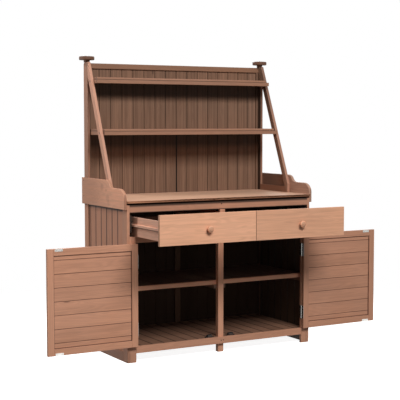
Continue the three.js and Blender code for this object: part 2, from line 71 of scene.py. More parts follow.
CAD_BOX = [list(corner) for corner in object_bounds()]
SIDES = {"left": -1, "right": 1}
X, Y, Z = range(3)
ALONG_X, ALONG_Y, ALONG_Z = (1, 0, 0), (0, 1, 0), (0, 0, 1)
FLOOR_Z = CAD_BOX[0][2]
FIT = 0.0003  # gap between pieces that are fitted into each other
HAIR = 0.0001  # half of a closed joint
FIRST_JOINT = -7  # boards between the middle of the bench and the first joint at its left
LEVELS = ("upper", "lower")

GRIME_AND_SHADE = (0.010, 0.006, 0.004, 1)  # dark stain in the grain and joints, and the colour of painted shade in corners, recesses, under overhangs and on rims
PAINTED_SHADE = (0.006, 0.005, 0.004, 1)  # the colour of painted shade, towards which it darkens timber
GAP = (0.004, 0.003, 0.002, 1)  # the bottom of an open gap
KNOT = (0.045, 0.015, 0.012, 1)  # the heart of a knot

# Share of its stain that a timber shows, where it isn't 1: above 1 is paler, below 1 is darker. Many are
# painted light and shade: drawer_rail, left_hinge_stile, centre_stile and shelf_edge are paler as painted
# light; top_front_rail, inside_boards, back_stile and drawer_backs are darker as painted shade; the left and
# right wings, stays, doors and drawer fronts are lit and shaded copies; the inside shares colour the painted
# shade on inward faces, and post_head_inside paints light above the upper shelf.
TONES_AND_LIGHT = {
    "drawer_rail": 1.35, "top_front_rail": 0.9, "left_hinge_stile": 1.5, "centre_stile": 2.0,
    "inside_boards": 0.5, "back_stile": 0.6, "shelf_edge": 1.9, "drawer_backs": 0.5, "knobs": 1.2,
    "left_wing": 1.75, "right_wing": 0.65, "foot_rails": 0.64, "left_post": 0.64, "right_post": 0.6,
    "left_stay": 1.15, "right_stay": 0.75, "left_door_boards": 1.16, "left_door_timber": 1.16,
    "right_door_boards": 0.97, "right_door_timber": 0.97, "left_drawer_front": 1.14,
    "right_drawer_front": 0.99, "side_timber_inside": 1.5, "side_boards_inside": 1.8,
    "post_inside": 1.6, "post_head_inside": 5.2, "stay_inside": 1.6, "worn_end": 1.8,
}


def srgb(red, green, blue):
    """A colour given as 0 to 255 display values, as linear light."""
    def linear(value):
        share = value / 255
        return share / 12.92 if share <= 0.04045 else ((share + 0.055) / 1.055) ** 2.4
    return (linear(red), linear(green), linear(blue))


# ---------------------------------------------------------------- sizes and colours

def colour(name, description, default):
    return FloatVectorProperty(name=name, description=description, default=default, subtype="COLOR",
                               min=0, max=1)


def length(name, description, default):
    return FloatProperty(name=name, description=description, default=default, subtype="DISTANCE",
                         unit="LENGTH")


def power(name, place, default):
    return FloatProperty(name=name, description="Power of the lamp " + place, default=default,
                         unit="POWER")


class BenchFinish(PropertyGroup):
    """Colours of the stained timber, the metal and the catches."""

    frame_stain: colour("Frame stain", "Rails, stiles, doors, posts and the left wing", srgb(185, 137, 112))
    pale_stain: colour("Pale stain", "Drawer fronts and knobs", srgb(211, 161, 131))
    side_stain: colour("Drawer side stain", "Sides of the drawers, and the right wing", srgb(224, 179, 156))
    worktop_stain: colour("Worktop stain", "Face of the worktop", srgb(224, 182, 155))
    strut_stain: colour("Strut stain", "Struts of the hutch", srgb(185, 139, 117))
    shelf_stain: colour("Shelf stain", "Shelves of the hutch", srgb(155, 115, 93))
    rail_stain: colour("Top rail stain", "Rail along the top of the hutch", srgb(129, 95, 74))
    dark_stain: colour("Dark stain", "Back boards of the hutch and cabinet", srgb(124, 96, 79))
    finial_stain: colour("Finial stain", "Finials", srgb(95, 65, 48))
    # A darker stain for the inside, partly painted shade; it also colours the painted shade on the inner
    # faces of the drawers and struts.
    inside_stain_and_shade: colour("Inside stain", "Floor, inner shelf, bearers and drawer linings", srgb(124, 93, 76))
    # Painted shade: a dark colour on the guides and on faces that look inwards, standing in for the shade
    # inside the bench.
    inside_shade: colour("Hidden stain", "Guides, and faces that look inwards", srgb(54, 40, 31))
    panel_stain: colour("Side panel stain", "Outer faces of the side boards", srgb(180, 131, 106))
    bare_edge: colour("Bare edge", "Worn front edge of the worktop", srgb(139, 97, 73))
    burnt_edge: colour("Burnt edge", "Dark line along the worn edge", srgb(66, 40, 27))
    zinc: colour("Zinc", "Strike plates and brackets", srgb(206, 205, 200))
    # Painted shade: darker than the strike plates' zinc, standing in for the dark inside that the leaves
    # reflect.
    hinge_zinc: colour("Hinge zinc", "Duller plating of the hinges", srgb(150, 149, 146))
    # Dark steel on the screws; on the catch poles its darkness is painted shade in place of bright zinc.
    dark_steel_and_shade: colour("Dark steel", "Screws in the timber and poles of the catches", srgb(96, 84, 76))
    black: colour("Catch black", "Bodies of the magnet catches", srgb(15, 14, 14))


class BenchTimber(PropertyGroup):
    """Sizes of the boards and timbers."""

    ease: length("Eased edge", "Rounding of a planed timber's edges", 0.0012)
    board_pitch: length("Board pitch", "From one joint of the tongued boards to the next", 0.0699)
    board_gap: length("Board gap", "Gap at the bottom of a joint", 0.0008)
    tongue: length("Tongue", "Thickness of a board's tongue", 0.003)
    stave: length("Stave", "Width of the glued staves of the worktop", 0.0697)
    worktop_board: length("Worktop board", "Thickness of the worktop's staves", 0.012)
    floor_board: length("Floor board", "Thickness of the inner shelf's boards", 0.012)
    door_member: length("Door member", "Width of a door frame's member", 0.035)
    door_rip: length("Ripped board", "What shows of the board at the bottom of a door", 0.0275)
    batten: length("Batten", "Thickness of the battens and small timbers", 0.016)
    shelf_board: length("Shelf board", "Thickness of a hutch shelf's board", 0.011)
    open_joint: length("Open joint", "Gap between the boards of the floor and of the side panels", 0.003)


class BenchTurnings(PropertyGroup):
    """Sizes of the knobs and finials."""

    knob_neck: length("Knob neck", "Radius of a knob's neck", 0.008)
    finial_neck: length("Finial neck", "Radius of a finial's neck", 0.018)
    finial_round: length("Finial rounding", "Rounding of the finial's rim", 0.0045)


class BenchHardware(PropertyGroup):
    """Sizes of the screws, strike plates and catches."""

    screw_head: length("Screw head", "Radius of a screw's head", 0.0034)
    screw_pitch: length("Screw pitch", "From screw to screw on a hinge leaf", 0.025)
    plate_length: length("Plate length", "Length of a strike plate", 0.044)
    plate_height: length("Plate height", "Height of a strike plate", 0.013)
    plate_thickness: length("Plate thickness", "Thickness of a strike plate", 0.0012)
    plate_inset: length("Plate inset", "From a door's free edge to the middle of its strike plate", 0.0625)
    catch_inset: length("Catch inset", "From the middle of the bench to the middle of a catch", 0.0665)
    catch_length: length("Catch length", "Length of a catch over its lugs", 0.056)
    catch_body: length("Catch body", "Length of a catch's body", 0.034)
    catch_depth: length("Catch depth", "Depth of a catch from front to back", 0.016)
    catch_height: length("Catch height", "Height of a catch", 0.014)


class BenchStage(PropertyGroup):
    """The camera's place and lens, the power of the lamps, and the floor."""

    camera_place: FloatVectorProperty(
        name="Camera place", description="Where the camera stands", default=(-3.0135, -5.0883, 1.2586),
        subtype="TRANSLATION", unit="LENGTH")
    camera_heading: FloatProperty(
        name="Camera heading", description="Turn of the view to the right", default=0.5165, subtype="ANGLE")
    camera_tilt: FloatProperty(
        name="Camera tilt", description="Tilt of the view upwards", default=-0.0717, subtype="ANGLE")
    camera_lens: FloatProperty(
        name="Lens", description="Focal length in millimetres", default=97.9, subtype="DISTANCE_CAMERA")
    key_power: power("Key lamp", "above the front", 345)
    front_power: power("Front lamp", "low in front", 18)
    fill_power: power("Fill lamp", "near the left", 24)
    top_power: power("Top lamp", "over the left end", 34)
    side_power: power("Side lamp", "low at the left", 12)
    back_power: power("Back lamp", "behind", 150)
    floor_shadow: FloatProperty(
        name="Floor shadow", description="Share of the shadow that the pale floor shows", default=0.10,
        subtype="FACTOR")
    floor_paint: colour("Floor paint", "What the floor throws back onto the bench", (0.08, 0.08, 0.08))


# ---------------------------------------------------------------- node helpers

class Nodes:
    """Adds nodes to a tree and links them."""

    def __init__(self, tree):
        self.tree = tree

    def add(self, kind, values=None, **settings):
        node = self.tree.nodes.new("ShaderNode" + kind)
        for key, value in settings.items():
            setattr(node, key, value)
        for key, value in (values or {}).items():
            self.feed(node.inputs[key], value)
        return node

    def feed(self, socket, value):
        if isinstance(value, bpy.types.NodeSocket):
            self.tree.links.new(value, socket)
        else:
            socket.default_value = value

    def math(self, operation, *values):
        return self.add("Math", dict(enumerate(values)), operation=operation).outputs[0]

    def vector(self, operation, *values):
        return self.add("VectorMath", dict(enumerate(values)), operation=operation).outputs[0]

    def ramp(self, value, start, end, low=0.0, high=1.0, smooth=True):
        """The value's place between start and end, as a number from low to high."""
        kind = "SMOOTHSTEP" if smooth else "LINEAR"
        values = {"Value": value, "From Min": start, "From Max": end, "To Min": low, "To Max": high}
        return self.add("MapRange", values, interpolation_type=kind).outputs["Result"]

    def split(self, vector):
        return self.add("SeparateXYZ", {0: vector}).outputs

    def apart(self, first, second=0.0):
        """How far two values are apart."""
        return self.math("ABSOLUTE", self.math("SUBTRACT", first, second))

    def noise(self, vector, scale, detail=2.0, roughness=0.5, distortion=0.0):
        values = {"Vector": vector, "Scale": scale, "Detail": detail, "Roughness": roughness,
                  "Distortion": distortion}
        return self.add("TexNoise", values).outputs["Fac"]

    def mix(self, share, first, second, blend="MIX"):
        node = self.add("Mix", data_type="RGBA", blend_type=blend)
        for socket, value in zip((node.inputs[0], node.inputs[6], node.inputs[7]), (share, first, second)):
            self.feed(socket, value)
        return node.outputs[2]


def node_group(name, inputs, outputs, build):
    """A shader node group with float, vector or colour sockets, made once."""
    group = bpy.data.node_groups.get(name)
    if group:
        return group
    group = bpy.data.node_groups.new(name, "ShaderNodeTree")
    kinds = {"f": "NodeSocketFloat", "v": "NodeSocketVector", "c": "NodeSocketColor"}
    for label, kind in inputs:
        group.interface.new_socket(label, in_out="INPUT", socket_type=kinds[kind])
    for label, kind in outputs:
        group.interface.new_socket(label, in_out="OUTPUT", socket_type=kinds[kind])
    nodes = Nodes(group)
    source = group.nodes.new("NodeGroupInput")
    sink = group.nodes.new("NodeGroupOutput")
    for label, value in build(nodes, source.outputs).items():
        nodes.feed(sink.inputs[label], value)
    return group


def fir_grain():
    """Growth rings, fibres and knots of a sawn board whose grain runs along X."""
    def build(n, given):
        place = given["Grain"]
        bent = n.vector("MULTIPLY", place, (1.1, 13.0, 13.0))
        knots = n.add("TexVoronoi", {"Vector": n.vector("MULTIPLY", place, (2.3, 8.0, 8.0)), "Scale": 1.0})
        chosen = n.math("GREATER_THAN", n.add("SeparateColor", {0: knots.outputs["Color"]}).outputs[0], 0.74)
        near = n.math("MULTIPLY", n.ramp(knots.outputs["Distance"], 0.30, 0.05), chosen)
        field = n.math("ADD", n.noise(bent, 1.3, 2.5, 0.45), n.math("MULTIPLY", near, 0.16))
        rings = n.math("SINE", n.math("MULTIPLY", field, 95.0))
        fibres = n.noise(n.vector("MULTIPLY", place, (9.0, 420.0, 420.0)), 1.0, 2.0, 0.6)
        streaks = n.noise(n.vector("MULTIPLY", place, (1.6, 60.0, 60.0)), 1.0, 3.0, 0.55)
        return {
            "Rings": n.ramp(rings, -1.0, 1.0),
            "Fibres": n.ramp(fibres, 0.3, 0.7, smooth=False),
            "Streaks": n.ramp(streaks, 0.28, 0.72, smooth=False),
            "Knots": n.math("MULTIPLY", n.ramp(knots.outputs["Distance"], 0.075, 0.03), chosen),
        }
    outputs = [("Rings", "f"), ("Fibres", "f"), ("Streaks", "f"), ("Knots", "f")]
    return node_group("fir_grain", [("Grain", "v")], outputs, build)


def oil_stain():
    """Stain colour, gloss and relief from the grain, the joints, the board's own tone and the end grain."""
    def build(n, given):
        tone = n.math("MULTIPLY_ADD", given["Rings"], -0.08, 1.05)
        for label, share in (("Streaks", 0.16), ("Fibres", 0.09), ("Patches", 0.20)):
            tone = n.math("MULTIPLY_ADD", n.math("SUBTRACT", given[label], 0.5), share, tone)
        tone = n.math("MULTIPLY_ADD", given["Tone"], given["Contrast"], tone)
        tone = n.math("MULTIPLY", tone, n.ramp(given["Knots"], 0, 1, 1.0, 0.55))
        tone = n.math("MULTIPLY", tone, n.ramp(given["Ends"], 0, 1, 1.0, 0.70))
        dirt = n.math("MULTIPLY", given["Joint"], given["Dirt"])
        tone = n.math("MULTIPLY", tone, n.math("SUBTRACT", 1.0, dirt))
        plain = n.vector("SCALE", given["Stain"])
        n.feed(plain.node.inputs["Scale"], tone)
        warm = n.mix(given["Warmth"], plain, n.vector("MULTIPLY", plain, (1.05, 0.96, 0.88)))
        height = n.math("MULTIPLY_ADD", given["Fibres"], 0.5, n.math("MULTIPLY", given["Rings"], 0.5))
        return {
            "Color": warm,
            "Roughness": n.math("MULTIPLY_ADD", given["Streaks"], 0.16, 0.50),
            "Height": height,
        }
    inputs = [(label, "f") for label in ("Rings", "Fibres", "Streaks", "Knots", "Joint", "Dirt", "Tone",
                                         "Contrast", "Patches", "Warmth", "Ends")]
    outputs = [("Color", "c"), ("Roughness", "f"), ("Height", "f")]
    return node_group("oil_stain", [("Stain", "c")] + inputs, outputs, build)


# ---------------------------------------------------------------- materials

def new_material(name):
    material = bpy.data.materials.new(name)
    material.use_nodes = True
    material.node_tree.nodes.clear()
    n = Nodes(material.node_tree)
    shader = n.add("BsdfPrincipled")
    n.add("OutputMaterial", {"Surface": shader.outputs[0]})
    return material, n, shader


def once(make):
    """Makes a material only the first time that its name is asked for."""
    def made(name, *values, **settings):
        return bpy.data.materials.get(name) or make(name, *values, **settings)
    return made


def surfaced(n, shader, shade, roughness, height, strength, depth):
    """Joins a colour, a roughness and a relief to the shader."""
    bump = n.add("Bump", {"Height": height, "Strength": strength, "Distance": depth})
    n.feed(shader.inputs["Base Color"], shade)
    n.feed(shader.inputs["Roughness"], roughness)
    n.feed(shader.inputs["Normal"], bump.outputs[0])


def toned(stain, timber):
    """The stain as a timber shows it, times its share, which for many timbers paints light and shade."""
    return tuple(TONES_AND_LIGHT.get(timber, 1.0) * value for value in stain)


@once
def stained(name, stain, along="own", seed=0.0, dirt=0.6, contrast=0.07, shine=0.3, over=None):
    """Stained fir. The grain runs along an axis of the piece, or as the piece's own attributes say.

    dirt darkens the joints, contrast sets board from board, and over(n, place, colour) adds marks, painted
    light and shade among them."""
    material, n, shader = new_material(name)
    where = n.add("TexCoord").outputs
    tone, joint = 0.0, 0.0
    if along == "own":
        grain, run = (n.add("Attribute", attribute_name=key).outputs["Vector"] for key in ("grain", "run"))
        tone, joint = (n.add("Attribute", attribute_name=key).outputs["Fac"] for key in ("tone", "joint"))
    else:
        turn = {"x": "XYZ", "y": "YZX", "z": "ZXY"}[along]
        place = n.split(where["Object"])
        rolled = n.add("CombineXYZ", {i: place[axis] for i, axis in enumerate(turn)}).outputs[0]
        grain = n.vector("ADD", rolled, (seed * 1.7, seed * 0.37, seed * 0.71))
        run = tuple(float(axis == along) for axis in "xyz")
    end = n.add("VectorMath", {0: run, 1: where["Normal"]}, operation="DOT_PRODUCT").outputs["Value"]
    fir = n.add("Group", {0: grain}, node_tree=fir_grain()).outputs
    values = {label: fir[label] for label in ("Rings", "Fibres", "Streaks", "Knots")}
    values.update({
        "Stain": (*toned(stain, name), 1.0),
        "Joint": joint,
        "Dirt": dirt,
        "Tone": tone,
        "Contrast": contrast,
        "Ends": n.ramp(n.math("ABSOLUTE", end), 0.75, 0.95),
        "Patches": n.noise(n.vector("MULTIPLY", grain, (1.0, 3.0, 3.0)), 3.0, 2.0),
        "Warmth": n.noise(where["Object"], 4.0, 2.0),
    })
    finish = n.add("Group", values, node_tree=oil_stain()).outputs
    shade = over(n, where["Object"], finish["Color"]) if over else finish["Color"]
    surfaced(n, shader, shade, finish["Roughness"], finish["Height"], 0.12, 0.0006)
    shader.inputs["Specular IOR Level"].default_value = shine
    return material


def layered(*overs):
    """Several marks, one over the other."""
    def over(n, place, shade):
        for mark in overs:
            shade = mark(n, place, shade)
        return shade
    return over


def worn_front(low, high, bare, burnt):
    """The front edge of the worktop: bare, paler at the left, with a ragged dark line under the arris."""
    depth, wander = 0.0040, 0.017  # of the dark line under the top, and how far it strays
    faint, full = low.x + 0.03, low.x + 0.45  # between them the dark line grows from faint to full

    def over(n, place, shade):
        x, y, z = n.split(place)
        patches = n.noise(n.vector("MULTIPLY", place, (30.0, 2.0, 40.0)), 1.0, 3.0, 0.7)
        level = n.math("MULTIPLY_ADD", n.math("SUBTRACT", patches, 0.5), wander, z)
        line = n.ramp(n.apart(level, high.z - depth), 0.0036, 0.0014)
        burns = n.math("MULTIPLY", line, n.ramp(x, faint, full, 0.4, 1.0))
        pale = n.mix(n.ramp(x, low.x + 0.02, low.x + 0.35), (*toned(bare, "worn_end"), 1), (*bare, 1))
        worn = n.mix(burns, pale, (*burnt, 1))
        return n.mix(n.ramp(y, low.y + 0.0030, low.y + 0.0012), shade, worn)
    return over


def dark_joints_and_shade(dark, joints=None, corners=(), before=None):
    """Dark joints and painted shade, only in front of a place along Y if before gives one.

    joints gives (axis, first, pitch, reach) of joints that repeat, where the stain is dark. corners gives
    (axis, place, reach) of planes along which it paints shade in corners, recesses and under overhangs, and
    at a shelf's seat a dark joint line.
    Places along X are counted both ways from the middle of the bench."""
    def over(n, place, shade):
        at = list(n.split(place))
        at[X] = n.math("ABSOLUTE", at[X])
        spots = [(n.apart(at[axis], spot), reach) for axis, spot, reach in corners]
        if joints:
            axis, first, pitch, reach = joints
            step = n.math("DIVIDE", n.math("SUBTRACT", at[axis], first), pitch)
            spots.append((n.math("MULTIPLY", n.apart(step, n.math("ROUND", step)), pitch), reach))
        for off, reach in spots:
            share = n.ramp(off, reach, 0.25 * reach, 0.0, dark)
            if before is not None:
                share = n.math("MULTIPLY", share, n.math("LESS_THAN", at[Y], before))
            shade = n.mix(share, shade, GRIME_AND_SHADE)
        return shade
    return over


def streaked(scale, share):
    """Fine dark lines of grain."""
    def over(n, place, shade):
        lines = n.noise(n.vector("MULTIPLY", place, scale), 1.0, 2.0, 0.6)
        return n.mix(n.ramp(lines, 0.60, 0.42, 0.0, share), shade, GRIME_AND_SHADE)
    return over


def rim_shade(axis, share):
    """Painted shade on the rounded edges of a board that faces along an axis, darker than its faces."""
    def over(n, place, shade):
        flat = n.split(n.add("TexCoord").outputs["Normal"])[axis]
        return n.mix(n.ramp(n.math("ABSOLUTE", flat), 0.92, 0.6, 0.0, share), shade, GRIME_AND_SHADE)
    return over


def shrunk(x, top, before):
    """A gap that has opened between two boards below a height, seen from in front of a place along Y."""
    def over(n, place, shade):
        at = n.split(place)
        seen = n.math("MULTIPLY", n.math("LESS_THAN", at[Y], before), n.math("LESS_THAN", at[Z], top))
        gap = n.ramp(n.apart(at[X], x), 0.0050, 0.0030)
        return n.mix(n.math("MULTIPLY", gap, seen), shade, GAP)
    return over


def shaded_along(axis, start, end, low):
    """Painted shade: darker from start to end along an axis, down to the share low."""
    def over(n, place, shade):
        return n.mix(n.ramp(n.split(place)[axis], start, end, 0.0, 1.0 - low), shade, PAINTED_SHADE)
    return over


def inner_face_shade(axis, inner, outer, stain, top=None):
    """Painted shade on what faces the inside of the bench, as another, darker stain. top gives a height, and
    the paler stain above it, which paints light there.
    """
    def over(n, place, shade):
        at = n.split(place)
        inside = (*stain, 1)
        if top:
            inside = n.mix(n.math("GREATER_THAN", at[Z], top[0]), inside, (*top[1], 1))
        return n.mix(n.ramp(n.math("ABSOLUTE", at[axis]), inner, outer), inside, shade)
    return over


def knotted(marks):
    """Knots at given places: (place, radius, darkness)."""
    def over(n, place, shade):
        stir = n.add("TexNoise", {"Vector": place, "Scale": 90.0}).outputs["Color"]
        ragged = n.vector("MULTIPLY_ADD", stir, (0.008, 0.008, 0.008), place)
        for middle, radius, dark in marks:
            away = n.add("VectorMath", {0: ragged, 1: middle}, operation="DISTANCE").outputs["Value"]
            near = n.math("MULTIPLY", n.ramp(away, radius, 0.4 * radius), dark)
            shade = n.mix(near, shade, KNOT)
        return shade
    return over


@once
def plated(name, metal):
    """Zinc-plated steel, faintly mottled."""
    material, n, shader = new_material(name)
    mottle = n.noise(n.add("TexCoord").outputs["Object"], 260.0, 3.0)
    shade = n.mix(n.ramp(mottle, 0.3, 0.7), (*(0.8 * value for value in metal), 1), (*metal, 1))
    surfaced(n, shader, shade, n.ramp(mottle, 0.3, 0.7, 0.2, 0.3), mottle, 0.08, 0.0002)
    shader.inputs["Metallic"].default_value = 1.0
    return material


@once
def moulded(name, plastic):
    """Black moulded plastic with a fine spark-eroded surface."""
    material, n, shader = new_material(name)
    grit = n.noise(n.add("TexCoord").outputs["Object"], 900.0, 2.0)
    shade = n.mix(grit, (*plastic, 1), (*(1.6 * value for value in plastic), 1))
    surfaced(n, shader, shade, n.ramp(grit, 0.3, 0.7, 0.45, 0.6), grit, 0.1, 0.0002)
    shader.inputs["Specular IOR Level"].default_value = 0.25
    return material


def dress(material, *nodes):
    """Gives CAD nodes their finish."""
    for node in nodes:
        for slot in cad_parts[node].material_slots:
            slot.link = "OBJECT"
            slot.material = material


# ---------------------------------------------------------------- making pieces

def piece(name, bm, material, body, replaces=()):
    """Makes the mesh an object that rides on a body."""
    mesh = bpy.data.meshes.new(name)
    bm.to_mesh(mesh)
    bm.free()
    mesh.materials.append(material)
    made = bpy.data.objects.new(name, mesh)
    bpy.context.scene.collection.objects.link(made)
    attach(made, body)
    if replaces:
        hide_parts(*replaces)
    return made


def join(bm, part):
    """Moves a part into a mesh."""
    store = bpy.data.meshes.new("part")
    part.to_mesh(store)
    part.free()
    bm.from_mesh(store)
    bpy.data.meshes.remove(store)


def block(low, high, ease=0.0, segments=2):
    """A squared block with rounded edges."""
    bm = bmesh.new()
    low, high = Vector(low), Vector(high)
    cube = bmesh.ops.create_cube(bm, size=1.0)["verts"]
    bmesh.ops.scale(bm, vec=high - low, verts=cube)
    bmesh.ops.translate(bm, vec=(low + high) / 2, verts=cube)
    if ease:
        round_over(bm, bm.edges, ease, segments)
    return bm


def round_over(bm, edges, offset, segments=2):
    bmesh.ops.bevel(bm, geom=list(edges), offset=offset, offset_type="OFFSET", segments=segments, profile=0.5,
                    affect="EDGES", material=-1, clamp_overlap=True)


def sawn(node, cuts=(), ease=0.0):
    """A copy of a CAD node's solid, sawn at planes given as (axis, place, side that is kept)."""
    bm = bmesh.new()
    bm.from_mesh(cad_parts[node].data)
    bmesh.ops.remove_doubles(bm, verts=bm.verts, dist=1e-5)
    for axis, place, keep in cuts:
        normal = Vector((0, 0, 0))
        normal[axis] = keep
        geom = [*bm.verts, *bm.edges, *bm.faces]
        bmesh.ops.bisect_plane(bm, geom=geom, dist=1e-6, plane_co=keep * place * normal, plane_no=normal,
                               clear_inner=True)
        bmesh.ops.holes_fill(bm, edges=[edge for edge in bm.edges if edge.is_boundary], sides=0)
    bmesh.ops.recalc_face_normals(bm, faces=bm.faces)
    bmesh.ops.dissolve_limit(bm, angle_limit=math.radians(0.5), verts=bm.verts, edges=bm.edges)
    if ease:
        round_over(bm, [edge for edge in bm.edges if edge.calc_face_angle(0) > math.radians(20)], ease)
    return bm


class Timberwork:
    """A mesh of separate timbers, each with its own grain, tone and dirty joints as attributes.

    What adds timbers hands the work back, so that the next call can follow."""

    def __init__(self, sizes):
        self.bm = bmesh.new()
        self.sizes = sizes

    def add(self, timber, along, seed, dirty=None):
        """Takes a timber in. dirty tells whether a point lies in a joint, where the stain is darker."""
        layers = timber.verts.layers
        for name in ("grain", "run"):
            layers.float_vector.new(name)
        for name in ("tone", "joint"):
            layers.float.new(name)
        grain, run = layers.float_vector["grain"], layers.float_vector["run"]
        tone, joint = layers.float["tone"], layers.float["joint"]
        chance = random.Random(seed)
        direction = Vector(along).normalized()
        turn = direction.rotation_difference(Vector((1, 0, 0))).to_matrix()
        slant = Matrix.Rotation(chance.uniform(-0.012, 0.012), 3, "Z") @ turn
        shift = Vector([chance.uniform(-9, 9) for _ in range(3)])
        shade = chance.uniform(-1, 1)
        for vert in timber.verts:
            vert[grain] = slant @ vert.co + shift
            vert[run] = direction
            vert[tone] = shade
            vert[joint] = float(dirty(vert.co)) if dirty else 0.0
        join(self.bm, timber)
        return self

    def saw(self, node, along, seed, cuts=(), ease=None):
        return self.add(sawn(node, cuts, self.sizes.ease if ease is None else ease), along, seed)

    def block(self, low, high, along, seed):
        return self.add(block(low, high, self.sizes.ease), along, seed)

    def frame(self, node, across, along, ends, middle, seed):
        """Saws a frame into its two stiles, and the rails between them below and above its middle."""
        start, end = ends
        between = [(across, start + HAIR, 1), (across, end - HAIR, -1)]
        self.saw(node, ALONG_Z, seed, [(across, start - HAIR, -1)])
        self.saw(node, ALONG_Z, seed + 1, [(across, end + HAIR, 1)])
        self.saw(node, along, seed + 2, [*between, (Z, middle, -1)])
        return self.saw(node, along, seed + 3, [*between, (Z, middle, 1)])

    def boards(self, node, across, along, first, seed, cuts=(), gap=None):
        """Saws the node's panel into its boards at the joints, and shows their tongues in the gaps."""
        low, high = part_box(node)
        pitch, gap = self.sizes.board_pitch, gap or self.sizes.board_gap
        count = int((high[across] - 0.004 - first) / pitch) + 1
        joints = [first + i * pitch for i in range(count)]
        ends = [low[across] - 1, *joints, high[across] + 1]
        for i, (start, end) in enumerate(zip(ends, ends[1:])):
            edges = (start + gap / 2, end - gap / 2)
            board = sawn(node, [*cuts, (across, edges[0], 1), (across, edges[1], -1)])
            low, high = reach(board) if not i else (low, high)
            self.add(board, along, seed + i,
                     lambda co: min(abs(co[across] - edge) for edge in edges) < 2e-5)
        thick = next(axis for axis in (X, Y, Z) if axis != across and not along[axis])
        inner, outer = low.copy(), high.copy()
        inner[thick] = (low[thick] + high[thick] - self.sizes.tongue) / 2
        outer[thick] = inner[thick] + self.sizes.tongue
        for place in joints:
            inner[across], outer[across] = place - 2 * gap, place + 2 * gap
            self.add(block(inner, outer), along, seed, lambda co: True)
        return self

    def piece(self, name, material, nodes, slot="stained_wood", body="bench"):
        piece(name, self.bm, material, body, nodes)


def reach(bm):
    """Lowest and highest corners of a mesh."""
    return (Vector([min(vert.co[i] for vert in bm.verts) for i in range(3)]),
            Vector([max(vert.co[i] for vert in bm.verts) for i in range(3)]))


def inner_face(node):
    """How far the inner face of a node is from the middle of the bench."""
    return min(abs(corner.x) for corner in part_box(node))


def outer_face(node):
    """Where the face of a node that looks away from the bench is along X."""
    return max((corner.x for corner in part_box(node)), key=abs)


def turning(profile, place, steps=48):
    """Spins a profile of (radius, height) points round +Z and sets it at a place, given as a matrix."""
    bm = bmesh.new()
    verts = [bm.verts.new((radius, 0, height)) for radius, height in profile]
    edges = [bm.edges.new(pair) for pair in zip(verts, verts[1:])]
    bmesh.ops.spin(bm, geom=verts + edges, axis=(0, 0, 1), cent=(0, 0, 0), angle=math.tau, steps=steps,
                   use_merge=True)
    bmesh.ops.remove_doubles(bm, verts=bm.verts, dist=1e-6)
    bmesh.ops.recalc_face_normals(bm, faces=bm.faces)
    bmesh.ops.transform(bm, matrix=place, verts=bm.verts)
    smooth(bm)
    return bm


def smooth(bm, angle=35):
    """Shades a mesh smooth, apart from its sharp edges."""
    for face in bm.faces:
        face.smooth = True
    for edge in bm.edges:
        edge.smooth = edge.calc_face_angle(0) < math.radians(angle)


def arc(centre, radius, start, end, steps=6):
    """Points of an arc, with its angles in degrees, 0 outwards and 90 up."""
    angles = [math.radians(start + (end - start) * i / steps) for i in range(steps + 1)]
    return [(centre[0] + radius[0] * math.cos(a), centre[1] + radius[1] * math.sin(a)) for a in angles]


def facing(at, direction, turn=0.0):
    """A matrix that sets a part, made round +Z, at a place and facing a direction."""
    swing = Vector((0, 0, 1)).rotation_difference(Vector(direction)).to_matrix().to_4x4()
    return Matrix.Translation(at) @ swing @ Matrix.Rotation(turn, 4, "Z")


def screw(radius, at, direction, turn):
    """The head of a countersunk screw with a cross recess, a hair proud of its surface."""
    bm = bmesh.new()
    bmesh.ops.create_grid(bm, x_segments=3, y_segments=3, size=0.62 * radius)
    corners = [face for face in bm.faces if min(abs(c) for c in face.calc_center_median().xy) > 0.3 * radius]
    bmesh.ops.delete(bm, geom=corners, context="FACES")
    cross = list(bm.faces)
    bmesh.ops.create_circle(bm, radius=radius, segments=20)
    rim = [edge for edge in bm.edges if edge.is_wire]
    bmesh.ops.bridge_loops(bm, edges=rim + [edge for edge in bm.edges if edge.is_boundary])
    bmesh.ops.recalc_face_normals(bm, faces=bm.faces)
    bmesh.ops.inset_region(bm, faces=cross, thickness=0.06 * radius, depth=-0.5 * radius,
                           use_even_offset=True)
    skirt = bmesh.ops.extrude_edge_only(bm, edges=[edge for edge in bm.edges if edge.is_boundary])["geom"]
    low = [item for item in skirt if isinstance(item, bmesh.types.BMVert)]
    bmesh.ops.scale(bm, vec=(0.8, 0.8, 1), verts=low)
    bmesh.ops.translate(bm, vec=(0, 0, -0.8 * radius), verts=low)
    bmesh.ops.holes_fill(bm, edges=[edge for edge in bm.edges if edge.is_boundary], sides=0)
    bmesh.ops.recalc_face_normals(bm, faces=bm.faces)
    bmesh.ops.translate(bm, vec=(0, 0, 0.0002), verts=bm.verts)
    bmesh.ops.transform(bm, matrix=facing(at, direction, turn), verts=bm.verts)
    return bm


def stay_screws(side):
    """Places of the screws through a strut into the ends of the hutch shelves."""
    for level in LEVELS:
        low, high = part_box(level + "_shelf")
        z = low.z + 0.4 * (high.z - low.z)
        low, high = reach(sawn(side + "_strut", [(Z, z - 0.001, 1), (Z, z + 0.001, -1)]))
        yield low.x if side == "left" else high.x, (low.y + high.y) / 2, z


def wing_screws(side):
    """Places of the two screws through a wing into the hutch post."""
    low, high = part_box(side + "_wing")
    post_low, post_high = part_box(side + "_hutch_post")
    for z in (low.z + 0.045, high.z - 0.016):
        yield outer_face(side + "_wing"), (post_low.y + post_high.y) / 2, z


def rounded_plate(low, high, axis, corner, ease=0.0003):
    """A thin plate, square to an axis, with rounded corners."""
    bm = block(low, high)
    upright = [edge for edge in bm.edges if abs((edge.verts[0].co - edge.verts[1].co)[axis]) > 1e-6]
    round_over(bm, upright, corner, 4)
    round_over(bm, [edge for edge in bm.edges if edge.calc_face_angle(0) > math.radians(60)], ease, 1)
    return bm


# ---------------------------------------------------------------- operators

